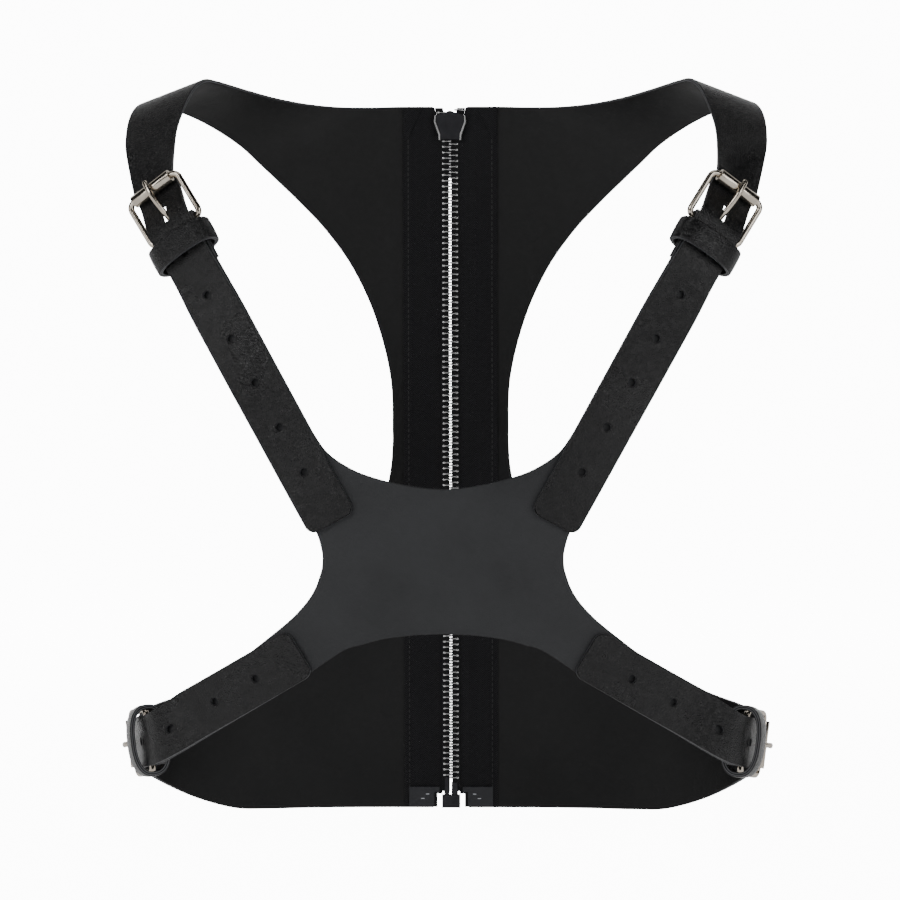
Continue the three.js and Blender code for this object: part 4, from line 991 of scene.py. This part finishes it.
shown(zip_mesh("pull_tab_plate", together(bevelled(body_outline, pull_low, pull_high, 0.3), arm_right,
                                          flipped(arm_right), bar, *ridge)),
      gunmetal, "pull", "gunmetal", "pull_tab")

# ---------------------------------------------------------------------------------------------
# Foot of the zip: retaining box and its fixed pin, the insertion pin of the other half, and the
# thin bluish films that stiffen the tape ends, each tacked with a pale stitch or two.
# ---------------------------------------------------------------------------------------------
PIN_OUTER = 3.7
PIN_DEPTH = 2.4
pins = (("retaining_pin", 0.95, 16.8, lambda shape: shape), ("insertion_pin", 0.25, 14.0, flipped))
for name, inner_side, top, turned in pins:
    pin_outline = [(inner_side, 1.9), (PIN_OUTER, 1.9), (PIN_OUTER, top - 0.8), (PIN_OUTER - 0.7, top),
                   (inner_side, top)]
    pin = bevelled(pin_outline, CHAIN_MIDDLE - PIN_DEPTH / 2, CHAIN_MIDDLE + PIN_DEPTH / 2, 0.3)
    shown(zip_mesh(f"{name}_bar", turned(pin)), gunmetal, "root", "gunmetal", name)
box_low, box_high = CHAIN_MIDDLE - BOX[2] / 2, CHAIN_MIDDLE + BOX[2] / 2
pocket, deep = PIN_OUTER + GAP, PIN_DEPTH / 2 + GAP
box_top = 0.3 + BOX[1]
shell = [(-BOX[0] / 2, 0.3), (BOX[0] / 2, 0.3), (BOX[0] / 2, box_top), (-BOX[0] / 2, box_top)]
cheek = [(pocket, 0.3), (BOX[0] / 2, 0.3), (BOX[0] / 2, box_top), (pocket, box_top)]
sole = [(-BOX[0] / 2, 0.3), (BOX[0] / 2, 0.3), (BOX[0] / 2, 1.6), (-BOX[0] / 2, 1.6)]
cheek_shape = bevelled(cheek, box_low + 0.3, box_high - 0.3, 0.05)
shown(zip_mesh("retaining_box_shell", together(
    bevelled(shell, box_low, CHAIN_MIDDLE - deep, 0.35), bevelled(shell, CHAIN_MIDDLE + deep, box_high, 0.35),
    cheek_shape, flipped(cheek_shape), bevelled(sole, box_low + 0.2, box_high - 0.2, 0.1))),
      gunmetal, "root", "gunmetal", "retaining_box")
film_nylon, film_tree, film_shader = material("blue-black nylon reinforcing film", Roughness=0.32, IOR=1.53)
film_cloud = node(film_tree, "ShaderNodeTexNoise", Scale=300.0, Detail=3.0)
film_tint = node(film_tree, "ShaderNodeMix", {"Factor": film_cloud.outputs["Fac"]}, data_type="RGBA")
film_tint.inputs["A"].default_value = linear("06070b")
film_tint.inputs["B"].default_value = linear("10131e")
film_tree.links.new(film_tint.outputs["Result"], film_shader.inputs["Base Color"])
film_bump = node(film_tree, "ShaderNodeBump", {"Height": film_cloud.outputs["Fac"]},
                 Strength=0.4, Distance=0.0004)
film_tree.links.new(film_bump.outputs[0], film_shader.inputs["Normal"])
film_outline = [(9, 0.8), (22.5, 0.8), (22.5, 11.5), (6.2, 11.5), (6.2, 8.6), (9, 8.6)]
film_shape = bevelled(film_outline, TAPE_FACE - GAP - 0.3, TAPE_FACE - GAP, 0.08)
tack_outline = np.array(stitch_outline)[:, ::-1] * 0.9
tack = bevelled(tack_outline, TAPE_FACE - GAP - 0.5, TAPE_FACE - GAP - 0.2, 0.1)
for side, turned in (("right", lambda shape: shape), ("left", flipped)):
    shown(zip_mesh(f"tape_film_{side}", turned(film_shape)), film_nylon, "root", "reinforcing_film",
          f"tape_end_film_{side}")
    tacks = repeated(tack, [(12.6, 7.6, 0), (15.2, 5.2, 0)])
    shown(zip_mesh(f"film_tacks_{side}", turned(tacks)), pale_thread, "root", "reinforcing_film", sharp=60)
